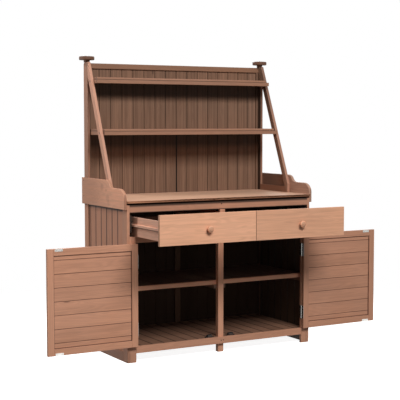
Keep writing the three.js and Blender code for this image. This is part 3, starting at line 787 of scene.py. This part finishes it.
class BENCH_OT_cabinet(Operator):
    """Stain the cabinet, and saw its frames and boards apart"""

    bl_idname = "bench.cabinet"
    bl_label = "Cabinet"

    def execute(self, context):
        finish, sizes = context.scene.bench_finish, context.scene.bench_timber
        stain = finish.frame_stain
        # the drawer rail's share paints light on it
        dress(stained("drawer_rail", stain, "x", seed=4), "drawer_rail")
        low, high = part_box("top_front_rail")
        knot = (-0.21, low.y, 0.81)
        # a knot, and painted shadow under the worktop's nose and along the rail's lower arris
        over = layered(knotted([(knot, 0.006, 0.5)]),
                       dark_joints_and_shade(0.9, corners=[(Z, high.z, 0.0145), (Z, low.z, 0.006)]))
        dress(stained("top_front_rail", stain, "x", seed=5, over=over), "top_front_rail")
        # painted shade darkens the left feet below 0.10 m, and the left hinge stile's share paints light on
        # it
        shaded_foot = {"left": shaded_along(Z, 0.10, 0.07, 0.6), "right": layered()}
        for seed, side in enumerate(SIDES, 9):
            node = side + "_hinge_stile"
            dress(stained(node, stain, "z", seed=seed, over=shaded_foot[side]), node)
        # the centre stile's share paints light on it, and painted shade darkens it below 0.48 m
        dress(stained("centre_stile", stain, "z", seed=11, over=shaded_along(Z, 0.48, 0.25, 0.58)), "centre_stile")
        dress(stained("drawer_post", stain, "z", seed=14), "centre_drawer_guide")
        work = Timberwork(sizes).saw("bottom_front_rail", ALONG_X, 3)
        work.piece("bottom_rail", stained("frame_timber", stain), ["bottom_front_rail"])
        for seed, side in enumerate(SIDES, 20):
            self.side_frame(side, finish, sizes, shaded_foot[side], 10 * seed)
            self.side_boards(side, finish, sizes, 10 * seed + 5)
        self.back_and_floor(finish, sizes)
        self.inner_shelf(finish, sizes)
        stain = finish.inside_stain_and_shade
        dress(stained("rear_rails", stain, "x", seed=43), "rear_top_rail", "rear_bottom_rail")
        bearers = stained("bearers", stain, "y", seed=47)
        # painted shade: the guides take the dark inside colour
        guides = stained("guides", finish.inside_shade, "y", seed=49)
        dress(bearers, "centre_shelf_bearer")
        for side in SIDES:
            dress(bearers, side + "_shelf_bearer")
            dress(guides, side + "_drawer_guide")
        return {"FINISHED"}

    def side_frame(self, side, finish, sizes, shaded_foot, seed):
        node = side + "_side_frame"
        bare = inner_face(node)
        # painted shade on the frame's inner faces
        inside = toned(finish.inside_shade, "side_timber_inside")
        over = layered(inner_face_shade(X, bare + 0.0002, bare + 0.0006, inside), shaded_foot)
        material = stained(side + "_side_timber", finish.frame_stain, over=over)
        low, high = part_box(side + "_side_boards")
        ends, middle = (low.y - FIT, high.y + FIT), (low.z + high.z) / 2
        work = Timberwork(sizes).frame(node, Y, ALONG_Y, ends, middle, seed)
        work.piece(side + "_side_timbers", material, [node])

    def side_boards(self, side, finish, sizes, seed):
        node = side + "_side_boards"
        low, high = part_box(node)
        first, bare = low.y - FIT + sizes.board_pitch, inner_face(node)
        # painted shade at the ends of the boards and under the wing, and on their inner faces; the repeating
        # joints are dark stain
        corners = [(Y, low.y, 0.006), (Y, high.y, 0.012), (Z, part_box("left_wing")[0].z, 0.022)]
        inside = toned(finish.inside_shade, "side_boards_inside")
        over = layered(inner_face_shade(X, bare + 0.002, bare + 0.008, inside),
                       dark_joints_and_shade(0.92, (Y, first, sizes.board_pitch, 0.0065), corners))
        material = stained("side_boards", finish.panel_stain, dirt=0.75, over=over)
        work = Timberwork(sizes).boards(node, Y, ALONG_Z, first, seed, gap=sizes.open_joint)
        work.piece(side + "_side_panel", material, [node])

    def back_and_floor(self, finish, sizes):
        node, first = "cabinet_back_boards", FIRST_JOINT * sizes.board_pitch
        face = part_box("rear_top_rail")[1].y
        # painted shade on the back boards' inner face
        over = inner_face_shade(Y, face + 0.002, face + 0.005, finish.inside_shade)
        boards = stained("back_boards", finish.dark_stain, dirt=0.8, shine=0.05, over=over)
        work = Timberwork(sizes).boards(node, X, ALONG_Z, first, 300, [(Y, face + HAIR, 1)])
        work.piece("cabinet_back", boards, [node], "inside_wood")
        # the back stile's share darkens it as painted shade
        stile = stained("back_stile", finish.dark_stain, dirt=0.8, shine=0.05)
        work = Timberwork(sizes).saw(node, ALONG_Z, 320, [(Y, face - HAIR, -1)])
        work.piece("cabinet_back_stile", stile, [node], "inside_wood")
        over = dark_joints_and_shade(0.8, (X, 0, sizes.board_pitch, 0.006))
        floor = stained("floor_boards", finish.inside_stain_and_shade, contrast=0.12, over=over)
        work = Timberwork(sizes).boards("floor_boards", X, ALONG_Y, first, 330, gap=sizes.open_joint)
        work.piece("cabinet_floor", floor, ["floor_boards"], "inside_wood")

    def inner_shelf(self, finish, sizes):
        """The inner shelf's boards on their rear batten, and its front batten."""
        node, first = "inner_shelf", FIRST_JOINT * sizes.board_pitch
        low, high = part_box(node)
        top, front = high.z - sizes.floor_board, low.y + sizes.batten
        # the boards' share darkens them as painted shade, and the front batten's share paints light on it
        boards = stained("inside_boards", finish.inside_stain_and_shade, dirt=0.8)
        cuts = [(Z, top + HAIR, 1), (Y, front + HAIR, 1)]
        work = Timberwork(sizes).boards(node, X, ALONG_Y, first, 350, cuts)
        work.block((low.x, high.y - sizes.batten, low.z), (high.x, high.y, top - HAIR), ALONG_X, 370)
        work.piece("shelf_boards", boards, [node], "inside_wood")
        work = Timberwork(sizes).block(low, (high.x, front - HAIR, high.z), ALONG_X, 371)
        work.piece("shelf_front", stained("shelf_edge", finish.frame_stain), [node])


class BENCH_OT_worktop(Operator):
    """Glue the worktop from staves, with its worn front edge, and finish the wings"""

    bl_idname = "bench.worktop"
    bl_label = "Worktop and wings"

    def execute(self, context):
        finish, sizes = context.scene.bench_finish, context.scene.bench_timber
        low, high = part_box("worktop")
        under = high.z - sizes.worktop_board
        count = round((high.y - low.y) / sizes.stave)
        places = [low.y - 1, *(low.y + i * sizes.stave for i in range(1, count)), high.y + 1]
        work = Timberwork(sizes)
        for i, (start, end) in enumerate(zip(places, places[1:])):
            work.saw("worktop", ALONG_X, 400 + i, [(Z, under + HAIR, 1), (Y, start, 1), (Y, end, -1)], 0)
        # painted shade darkens the worktop towards its right end
        over = layered(shaded_along(X, -0.45, 0.5, 0.76), worn_front(low, high, finish.bare_edge, finish.burnt_edge))
        face = stained("worktop", finish.worktop_stain, contrast=0.03, shine=0.12, over=over)
        work.piece("worktop_staves", face, ["worktop"], "pale_stained_wood")
        # painted shadow: the battens go nearly black behind the worktop's front
        dark = shaded_along(Y, low.y, low.y + 0.02, 0.03)
        timber = stained("battens", finish.frame_stain, shine=0.05, over=dark)
        work = Timberwork(sizes).saw("worktop", ALONG_X, 420, [(Z, under - HAIR, -1)])
        work.piece("worktop_battens", timber, ["worktop"])
        for seed, side in enumerate(SIDES, 430):
            self.wing(side, finish, sizes, seed)
        return {"FINISHED"}

    def wing(self, side, finish, sizes, seed):
        """A wing with smooth rounded edges, the knots below its shoulder, painted shade towards its rear, and
        on the left wing painted shade on its rim.
        """
        node = side + "_wing"
        low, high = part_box(node)
        heart = Vector((outer_face(node), low.y + 0.225, high.z - 0.052))
        marks = [(heart, 0.010, 0.35), (heart + Vector((0, -0.018, -0.040)), 0.030, 0.16),
                 (heart + Vector((0, 0.052, 0.014)), 0.026, 0.16),
                 (heart + Vector((0, -0.03, -0.066)), 0.020, 0.12)]
        start, end = low.y + 0.05, high.y - 0.08  # where painted shade darkens the wing towards its rear
        # the left and right wings take different stains and shares, as lit and shaded copies
        if side == "left":
            stain = finish.frame_stain
            over = layered(knotted(marks), shaded_along(Y, start, end, 0.54), rim_shade(X, 0.4))
        else:
            stain = finish.side_stain
            over = layered(knotted(marks[1:2]), shaded_along(Y, start, end, 0.45))
        board = sawn(node)
        smooth(board, 40)
        for surface in board.faces:
            surface.smooth = abs(surface.normal.x) < 0.999
        work = Timberwork(sizes).add(board, ALONG_Y, seed)
        work.piece(side + "_wing_board", stained(node, stain, over=over), [node])


class BENCH_OT_hutch(Operator):
    """Stain the hutch, and saw its shelves and boards apart"""

    bl_idname = "bench.hutch"
    bl_label = "Hutch"

    def execute(self, context):
        finish, sizes = context.scene.bench_finish, context.scene.bench_timber
        node, face = "hutch_back_boards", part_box("rear_top_rail")[1].y
        work = Timberwork(sizes)
        work.boards(node, X, ALONG_Z, FIRST_JOINT * sizes.board_pitch, 500, [(Y, face + HAIR, 1)])
        work.saw(node, ALONG_Z, 520, [(Y, face - HAIR, -1)])
        # painted shadow on the boards under each shelf, on their front faces only
        shelves = [(Z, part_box(level + "_shelf")[0].z - 0.03, 0.07) for level in LEVELS]
        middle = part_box(node)[1].y - 0.004
        over = layered(streaked((110, 110, 1.5), 0.24), dark_joints_and_shade(0.5, (X, 0, sizes.board_pitch, 0.003)),
                       dark_joints_and_shade(0.72, corners=shelves, before=middle),
                       shrunk(0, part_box("lower_shelf")[0].z, middle))
        boards = stained("hutch_boards", finish.dark_stain, dirt=0.45, contrast=0.11, shine=0.12, over=over)
        work.piece("hutch_back", boards, [node], "dark_stained_wood")
        dress(stained("hutch_top_rail", finish.rail_stain, "x", seed=53), "hutch_top_rail")
        for seed, side in enumerate(SIDES, 54):
            self.post(side, finish, sizes, 10 * seed)
            self.strut(side, finish, sizes, 10 * seed + 2)
        for seed, level in enumerate(LEVELS, 58):
            self.shelf(level + "_shelf", finish.shelf_stain, sizes, 10 * seed)
        return {"FINISHED"}

    def post(self, side, finish, sizes, seed):
        """A post, with painted shade on its inner face and painted light on that face above the upper shelf,
        and its foot rail.
        """
        node, dark = side + "_hutch_post", finish.inside_shade
        dress(stained("foot_rails", finish.frame_stain, "y", seed=seed + 1), side + "_foot_rail")
        inner = inner_face(node)
        head = (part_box("upper_shelf")[1].z, toned(dark, "post_head_inside"))
        over = inner_face_shade(X, inner + 0.002, inner + 0.003, toned(dark, "post_inside"), head)
        material = stained(side + "_post", finish.frame_stain, over=over)
        Timberwork(sizes).saw(node, ALONG_Z, seed).piece(side + "_upright", material, [node])

    def strut(self, side, finish, sizes, seed):
        """A strut, with dark rings round its screws and painted shade on its inner face; left and right take
        shares as lit and shaded copies. The right one has painted shade that darkens it towards its head.
        """
        node = side + "_strut"
        inner = inner_face(node)
        over = layered(inner_face_shade(X, inner + 0.001, inner + 0.002, toned(finish.inside_stain_and_shade, "stay_inside")),
                       knotted([(at, 0.0085, 0.8) for at in stay_screws(side)]))
        if side == "right":
            over = layered(over, shaded_along(Z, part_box("lower_shelf")[1].z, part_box("upper_shelf")[0].z, 0.55))
        low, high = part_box(node)
        work = Timberwork(sizes).saw(node, (0, high.y - low.y, high.z - low.z), seed)
        material = stained(side + "_stay", finish.strut_stain, over=over)
        work.piece(side + "_stay", material, [node], "pale_stained_wood")

    def shelf(self, node, stain, sizes, seed):
        """A shelf board on a front batten and two cleats."""
        low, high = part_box(node)
        seat, front = high.z - sizes.shelf_board, low.y + sizes.batten
        below = (Z, seat - 2 * HAIR, -1)
        work = Timberwork(sizes).saw(node, ALONG_X, seed, [(Z, seat + HAIR, 1)])
        work.saw(node, ALONG_X, seed + 1, [below, (Y, front - HAIR, -1)])
        for sign in SIDES.values():
            work.saw(node, ALONG_Y, seed + 2 + sign, [below, (Y, front + HAIR, 1), (X, 0, sign)])
        over = dark_joints_and_shade(0.5, corners=[(Z, seat, 0.0035)])
        work.piece(node + "_timbers", stained(node, stain, over=over), [node])


class BENCH_OT_doors(Operator):
    """Saw the doors into their frame members and boards"""

    bl_idname = "bench.doors"
    bl_label = "Doors"

    def execute(self, context):
        finish, sizes = context.scene.bench_finish, context.scene.bench_timber
        stain, member, recess_shade = finish.frame_stain, sizes.door_member, 0.006
        # painted shade in the recess along each door frame's inner edges
        low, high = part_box("right_door_frame")
        corners = [(X, low.x + member, recess_shade), (X, high.x - member, recess_shade),
                   (Z, low.z + member, recess_shade), (Z, high.z - member, recess_shade)]
        for seed, side in enumerate(SIDES, 60):
            node, body = side + "_door_frame", side + "_door"
            low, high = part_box(node)
            ends, middle = (low.x + member, high.x - member), (low.z + high.z) / 2
            work = Timberwork(sizes).frame(node, X, ALONG_X, ends, middle, 10 * seed)
            # the left and right doors take shares as lit and shaded copies
            work.piece(side + "_door_timbers", stained(side + "_door_timber", stain), [node], body=body)
            node = side + "_door_boards"
            boards = stained(node, stain, dirt=0.8, contrast=0.05, over=dark_joints_and_shade(0.8, corners=corners))
            work = Timberwork(sizes).boards(node, Z, ALONG_X, low.z + member + sizes.door_rip, 10 * seed + 5)
            work.piece(side + "_door_panel", boards, [node], body=body)
        return {"FINISHED"}


class BENCH_OT_drawers(Operator):
    """Stain the drawers and turn their knobs"""

    bl_idname = "bench.drawers"
    bl_label = "Drawers"

    def execute(self, context):
        finish, sizes = context.scene.bench_finish, context.scene.bench_timber
        neck, lining = context.scene.bench_turnings.knob_neck, finish.inside_stain_and_shade
        sides = stained("drawer_sides", finish.side_stain, over=self.shaded_inside(lining))
        # the drawer backs' share darkens them as painted shade
        backs = stained("drawer_backs", lining, "x", seed=87)
        bottoms = stained("drawer_bottoms", lining, "x", seed=89)
        for seed, side in enumerate(SIDES, 80):
            drawer = side + "_drawer_"
            # the left and right drawer fronts take shares as lit and shaded copies
            dress(stained(drawer + "front", finish.pale_stain, "x", seed=seed), drawer + "front")
            work, nodes = Timberwork(sizes), [drawer + "outer_side", drawer + "inner_side"]
            for i, node in enumerate(nodes):
                work.saw(node, ALONG_Y, 10 * seed + i, ease=0.0008)
            work.piece(drawer + "sides", sides, nodes, "pale_stained_wood", side + "_drawer")
            dress(backs, drawer + "back")
            dress(bottoms, drawer + "bottom")
            self.knob(side, neck, stained("knobs", finish.pale_stain, "y", seed=91))
        return {"FINISHED"}

    def shaded_inside(self, stain):
        """Painted shade: the darker faces inside the drawers, and a dark line under the runners."""
        inner, (low, high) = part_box("right_drawer_inner_side")[1].x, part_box("right_drawer_outer_side")
        runner, lining = low.z + 0.049, high.x - 0.0230  # underside of the runner, inner face of the side
        shade_line = dark_joints_and_shade(0.85, corners=[(Z, runner, 0.0045)])

        def over(n, place, shade):
            x = n.math("ABSOLUTE", n.split(place)[X])
            between = n.math("MULTIPLY", n.ramp(x, inner - 0.002, inner - 0.001),
                             n.ramp(x, lining + 0.0005, lining - 0.0005))
            return n.mix(between, shade_line(n, place, shade), (*stain, 1))
        return over

    def knob(self, side, neck, material):
        node = side + "_drawer_knob"
        low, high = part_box(node)
        radius, deep = (high.x - low.x) / 2, high.y - low.y
        shoulder = 0.4 * deep
        foot = [(0, 0), (neck + 0.003, 0), (neck + 0.003, 0.0015), (neck + 0.001, 0.004), (neck, shoulder)]
        under = arc((radius - 0.007, shoulder + 0.007), (0.007, 0.006), -80, 20, 6)
        crown = arc((0, deep - 0.010), (radius - 0.0003, 0.010), 15, 90, 10)
        place = facing(((low.x + high.x) / 2, high.y, (low.z + high.z) / 2), (0, -1, 0))
        bm = turning(foot + under + crown[:-1] + [(0, deep)], place)
        piece(side + "_turned_knob", bm, material, side + "_drawer", [node])


class BENCH_OT_finials(Operator):
    """Turn the two finials on the hutch posts"""

    bl_idname = "bench.finials"
    bl_label = "Finials"

    def execute(self, context):
        finish = context.scene.bench_finish
        sizes = context.scene.bench_turnings
        material = stained("finials", finish.finial_stain, "z", seed=95)
        for side in SIDES:
            node = side + "_finial"
            low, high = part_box(node)
            radius = (high.x - low.x) / 2
            tall = high.z - low.z
            rim = sizes.finial_round
            neck_top = 0.33 * tall
            neck = [(0, 0), (sizes.finial_neck, 0)] + arc(
                (sizes.finial_neck + 0.006, 0.5 * neck_top), (0.008, 0.5 * neck_top), 180, 100, 5)
            under = arc((radius - rim, neck_top + rim), (rim, rim), -90, 0, 6)
            over = arc((radius - rim, tall - 0.0035 - rim), (rim, rim), 0, 90, 6)
            place = Matrix.Translation(((low.x + high.x) / 2, (low.y + high.y) / 2, low.z))
            bm = turning(neck + under + over + [(0, tall)], place)
            piece(side + "_turned_finial", bm, material, "bench", [node])
        return {"FINISHED"}


class BENCH_OT_hinges(Operator):
    """Plate the butt hinges, and drive their screws"""

    bl_idname = "bench.hinges"
    bl_label = "Hinges"

    def execute(self, context):
        # the darker hinge zinc is painted shade for the dark that the leaves reflect
        zinc = plated("hinge_zinc", context.scene.bench_finish.hinge_zinc)
        sizes = context.scene.bench_hardware
        fixed = bmesh.new()
        for side, sign in SIDES.items():
            swung = bmesh.new()
            for level in LEVELS:
                for leaf, screws in (("frame", fixed), ("door", swung)):
                    node = f"{side}_{level}_{leaf}_leaf"
                    dress(zinc, node)
                    self.screws(screws, node, sign, leaf == "frame", sizes)
            piece(side + "_door_hinge_screws", swung, zinc, side + "_door")
        piece("frame_hinge_screws", fixed, zinc, "bench")
        return {"FINISHED"}

    def screws(self, bm, node, sign, rear, sizes):
        """Three staggered screws in the flat of a leaf, which faces the middle of the cabinet."""
        low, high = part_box(node)
        face = (low.x + high.x) / 2 + sign * FIT
        middle = (low.z + high.z) / 2
        edge, stagger = 0.0088, 0.0022  # from the edge to the middle screw, and how much nearer the rest are
        for i in (-1, 0, 1):
            step = edge - stagger * abs(i)
            y = high.y - step if rear else low.y + step
            at = (face, y, middle + i * sizes.screw_pitch)
            join(bm, screw(0.9 * sizes.screw_head, at, (-sign, 0, 0), 0.7 * i))


class BENCH_OT_catches(Operator):
    """Fit the magnet catches and their strike plates"""

    bl_idname = "bench.catches"
    bl_label = "Catches"

    def execute(self, context):
        finish, sizes = context.scene.bench_finish, context.scene.bench_hardware
        zinc, steel = plated("zinc", finish.zinc), plated("dark_screws", finish.dark_steel_and_shade)
        black = moulded("catch_black", finish.black)
        for side, sign in SIDES.items():
            strikes = bmesh.new()
            low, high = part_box(side + "_door_frame")
            middle = outer_face(side + "_door_frame") - sign * sizes.plate_inset
            for start in (low.z + 0.0005, high.z - 0.0005 - sizes.plate_height):
                self.strike(strikes, Vector((middle, low.y, start)), sizes)
            piece(side + "_strike_plates", strikes, zinc, side + "_door")
        bodies, metal, angles = bmesh.new(), bmesh.new(), bmesh.new()
        rail_low, rail_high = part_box("drawer_rail")
        floor_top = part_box("floor_boards")[1].z
        for sign in SIDES.values():
            x, y = sign * sizes.catch_inset, rail_high.y + 0.0030
            self.catch(bodies, metal, Matrix.Translation((x, y, floor_top)), sizes)
            hung = Matrix.Translation((x, y, rail_low.z - 0.0012)) @ Matrix.Rotation(math.pi, 4, "Y")
            self.catch(bodies, metal, hung, sizes)
            self.bracket(angles, x, rail_high.y, rail_low.z, sizes)
        piece("magnet_catches", bodies, black, "bench")
        piece("catch_fittings", metal, steel, "bench")
        piece("catch_angles", angles, zinc, "bench")
        return {"FINISHED"}

    def strike(self, bm, at, sizes):
        """A strike plate with its two screws on the inner face of a door."""
        half = Vector((sizes.plate_length / 2, 0, 0))
        thick = Vector((0, sizes.plate_thickness, 0))
        tall = Vector((0, 0, sizes.plate_height))
        join(bm, rounded_plate(at - half - thick, at + half + tall, Y, 0.003))
        for way in (-1, 1):
            place = at + way * 0.66 * half - thick + tall / 2
            join(bm, screw(0.85 * sizes.screw_head, place, (0, -1, 0), 0.5 * way))

    def catch(self, bodies, metal, place, sizes):
        """A catch on its lugs, with two steel poles in front."""
        half, body = sizes.catch_length / 2, sizes.catch_body / 2
        deep, tall = sizes.catch_depth, sizes.catch_height
        flange = rounded_plate((-half, 0, 0), (half, deep, 0.003), Z, 0.4 * deep, 0.0005)
        case = block((-body, 0.0005, 0.002), (body, deep, tall))
        bmesh.ops.scale(case, vec=(0.8, 1, 1), verts=[vert for vert in case.verts if vert.co.z > tall / 2])
        round_over(case, case.edges, 0.001)
        parts = [(bodies, flange), (bodies, case)]
        # the poles take the dark steel, as painted shade in place of bright zinc
        poles = (0.0045, 0.0085)
        for level in poles:
            parts.append((metal, block((-0.011, -0.0003, level), (0.011, 0.006, level + 0.0016), 0.0003)))
        for way in (-1, 1):
            at = (way * (half + body) / 2, deep / 2, 0.003)
            parts.append((metal, screw(0.8 * sizes.screw_head, at, (0, 0, 1), 0.4)))
        for bm, part in parts:
            bmesh.ops.transform(part, matrix=place, verts=part.verts)
            join(bm, part)

    def bracket(self, bm, x, y, z, sizes):
        """The angle behind the drawer rail that an upper catch hangs from."""
        half, deep = sizes.catch_length / 2, sizes.catch_depth
        join(bm, rounded_plate((x - half, y, z - 0.0011), (x + half, y + deep + 0.004, z), Z, 0.002))
        join(bm, rounded_plate((x - half, y, z - 0.001), (x + half, y + 0.0012, z + 0.020), Y, 0.002))
        for way in (-1, 1):
            at = (x + way * 0.6 * half, y + 0.0012, z + 0.012)
            join(bm, screw(sizes.screw_head, at, (0, 1, 0), 0.9))


class BENCH_OT_screws(Operator):
    """Drive the dark screws that hold the timbers"""

    bl_idname = "bench.screws"
    bl_label = "Screws"

    def execute(self, context):
        radius = context.scene.bench_hardware.screw_head
        bm = bmesh.new()
        for side, sign in SIDES.items():
            for at in (*stay_screws(side), *wing_screws(side)):
                join(bm, screw(radius, at, (sign, 0, 0), at[2]))
        low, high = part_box("bottom_front_rail")
        for way in (-1, 1):
            at = (way * 0.007, low.y, (low.z + high.z) / 2)
            join(bm, screw(radius, at, (0, -1, 0), way))
        low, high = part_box("top_front_rail")
        join(bm, screw(radius, (-0.006, low.y, high.z - 0.011), (0, -1, 0), 0.3))
        dark = plated("dark_screws", context.scene.bench_finish.dark_steel_and_shade)
        piece("timber_screws", bm, dark, "bench")
        return {"FINISHED"}


LAMP_AIM = (0.0, 0.0, 0.8)
LAMPS = {  # place, and width and height
    "key": ((-0.1, -4.97, 4.9), (3.0, 1.6)),
    "front": ((-0.6, -5.2, 1.1), (1.2, 0.8)),
    "fill": ((-1.6, -3.23, 4.0), (1.4, 0.5)),
    "top": ((-2.5, 0.92, 3.8), (0.6, 0.6)),
    "side": ((-2.0, 0.97, 1.6), (0.35, 0.35)),
    "back": ((1.7, 4.4, 2.9), (2.0, 1.6)),
}


class BENCH_OT_stage(Operator):
    """Set the floor, the lamps and the camera"""

    bl_idname = "bench.stage"
    bl_label = "Stage"

    def execute(self, context):
        stage = context.scene.bench_stage
        self.floor(stage)
        self.world(context)
        for name, (place, size) in LAMPS.items():
            self.lamp(name, place, size, getattr(stage, name + "_power"))
        self.camera(context, stage)
        context.scene.view_settings.view_transform = "Standard"
        return {"FINISHED"}

    def floor(self, stage):
        """A floor that looks white, with the bench's shadow on it near the bench."""
        bm = bmesh.new()
        bmesh.ops.create_grid(bm, x_segments=1, y_segments=1, size=14.0)
        bmesh.ops.translate(bm, vec=(0, 0, FLOOR_Z - 0.0005), verts=bm.verts)
        mesh = bpy.data.meshes.new("floor")
        bm.to_mesh(mesh)
        bm.free()
        floor = bpy.data.objects.new("floor", mesh)
        bpy.context.scene.collection.objects.link(floor)
        material = bpy.data.materials.new("floor")
        material.use_nodes = True
        material.node_tree.nodes.clear()
        n = Nodes(material.node_tree)
        place = n.add("TexCoord").outputs["Object"]
        away = n.add("VectorMath", {0: place}, operation="LENGTH").outputs["Value"]
        near = n.ramp(away, 2.6, 1.2)  # the shadow fades out between these distances from the bench
        paint = n.add("BsdfDiffuse", {"Color": (*stage.floor_paint, 1)})
        bright = n.add("BsdfDiffuse", {"Color": n.mix(near, (0, 0, 0, 1), (0.9, 0.9, 0.9, 1))})
        glow = n.add("Emission", {"Strength": n.math("MULTIPLY_ADD", near, -stage.floor_shadow, 1.0)})
        pale = n.add("AddShader", {0: bright.outputs[0], 1: glow.outputs[0]})
        both = n.add("MixShader", {0: seen_directly(n), 1: paint.outputs[0], 2: pale.outputs[0]})
        n.add("OutputMaterial", {"Surface": both.outputs[0]})
        mesh.materials.append(material)

    def world(self, context):
        world = bpy.data.worlds.new("studio")
        world.use_nodes = True
        world.node_tree.nodes.clear()
        n = Nodes(world.node_tree)
        dark = n.add("Background", {"Color": (1, 1, 1, 1), "Strength": 0.0})
        white = n.add("Background", {"Color": (1, 1, 1, 1), "Strength": 1.0})
        both = n.add("MixShader", {0: seen_directly(n), 1: dark.outputs[0], 2: white.outputs[0]})
        n.add("OutputWorld", {"Surface": both.outputs[0]})
        context.scene.world = world

    def lamp(self, name, place, size, power):
        light = bpy.data.lights.new(name, "AREA")
        light.shape = "RECTANGLE"
        light.size, light.size_y = size
        light.energy = power
        lamp = bpy.data.objects.new(name, light)
        lamp.location = place
        lamp.rotation_euler = (Vector(LAMP_AIM) - Vector(place)).to_track_quat("-Z", "Y").to_euler()
        bpy.context.scene.collection.objects.link(lamp)

    def camera(self, context, stage):
        lens = bpy.data.cameras.new("camera")
        lens.lens = stage.camera_lens
        lens.sensor_width = 36.0
        lens.clip_end = 60.0
        camera = bpy.data.objects.new("camera", lens)
        camera.location = stage.camera_place
        camera.rotation_euler = (math.radians(90) + stage.camera_tilt, 0.0, -stage.camera_heading)
        bpy.context.scene.collection.objects.link(camera)
        context.scene.camera = camera


def seen_directly(n):
    """1 for camera, glossy and transmission rays."""
    path = n.add("LightPath").outputs
    either = n.math("MAXIMUM", path["Is Camera Ray"], path["Is Glossy Ray"])
    return n.math("MAXIMUM", either, path["Is Transmission Ray"])


class BENCH_PT_panel(Panel):
    """The stage and the bench's pieces, in the order in which they are made"""

    bl_idname = "BENCH_PT_panel"
    bl_label = "Potting bench"
    bl_space_type = "VIEW_3D"
    bl_region_type = "UI"
    bl_category = "Bench"

    def draw(self, context):
        for operator in OPERATORS:
            self.layout.operator(operator.bl_idname)


OPERATORS = (BENCH_OT_stage, BENCH_OT_cabinet, BENCH_OT_worktop, BENCH_OT_hutch, BENCH_OT_doors,
             BENCH_OT_drawers, BENCH_OT_finials, BENCH_OT_hinges, BENCH_OT_catches, BENCH_OT_screws)
GROUPS = {"bench_finish": BenchFinish, "bench_timber": BenchTimber, "bench_turnings": BenchTurnings,
          "bench_hardware": BenchHardware, "bench_stage": BenchStage}


def register():
    for group in (*GROUPS.values(), *OPERATORS, BENCH_PT_panel):
        bpy.utils.register_class(group)
    for name, group in GROUPS.items():
        setattr(bpy.types.Scene, name, PointerProperty(type=group))


def unregister():
    for name in GROUPS:
        delattr(bpy.types.Scene, name)
    for group in (BENCH_PT_panel, *reversed(OPERATORS), *reversed(GROUPS.values())):
        bpy.utils.unregister_class(group)


def main():
    register()
    for operator in OPERATORS:
        family, name = operator.bl_idname.split(".")
        getattr(getattr(bpy.ops, family), name)()


if __name__ == "__main__":
    main()
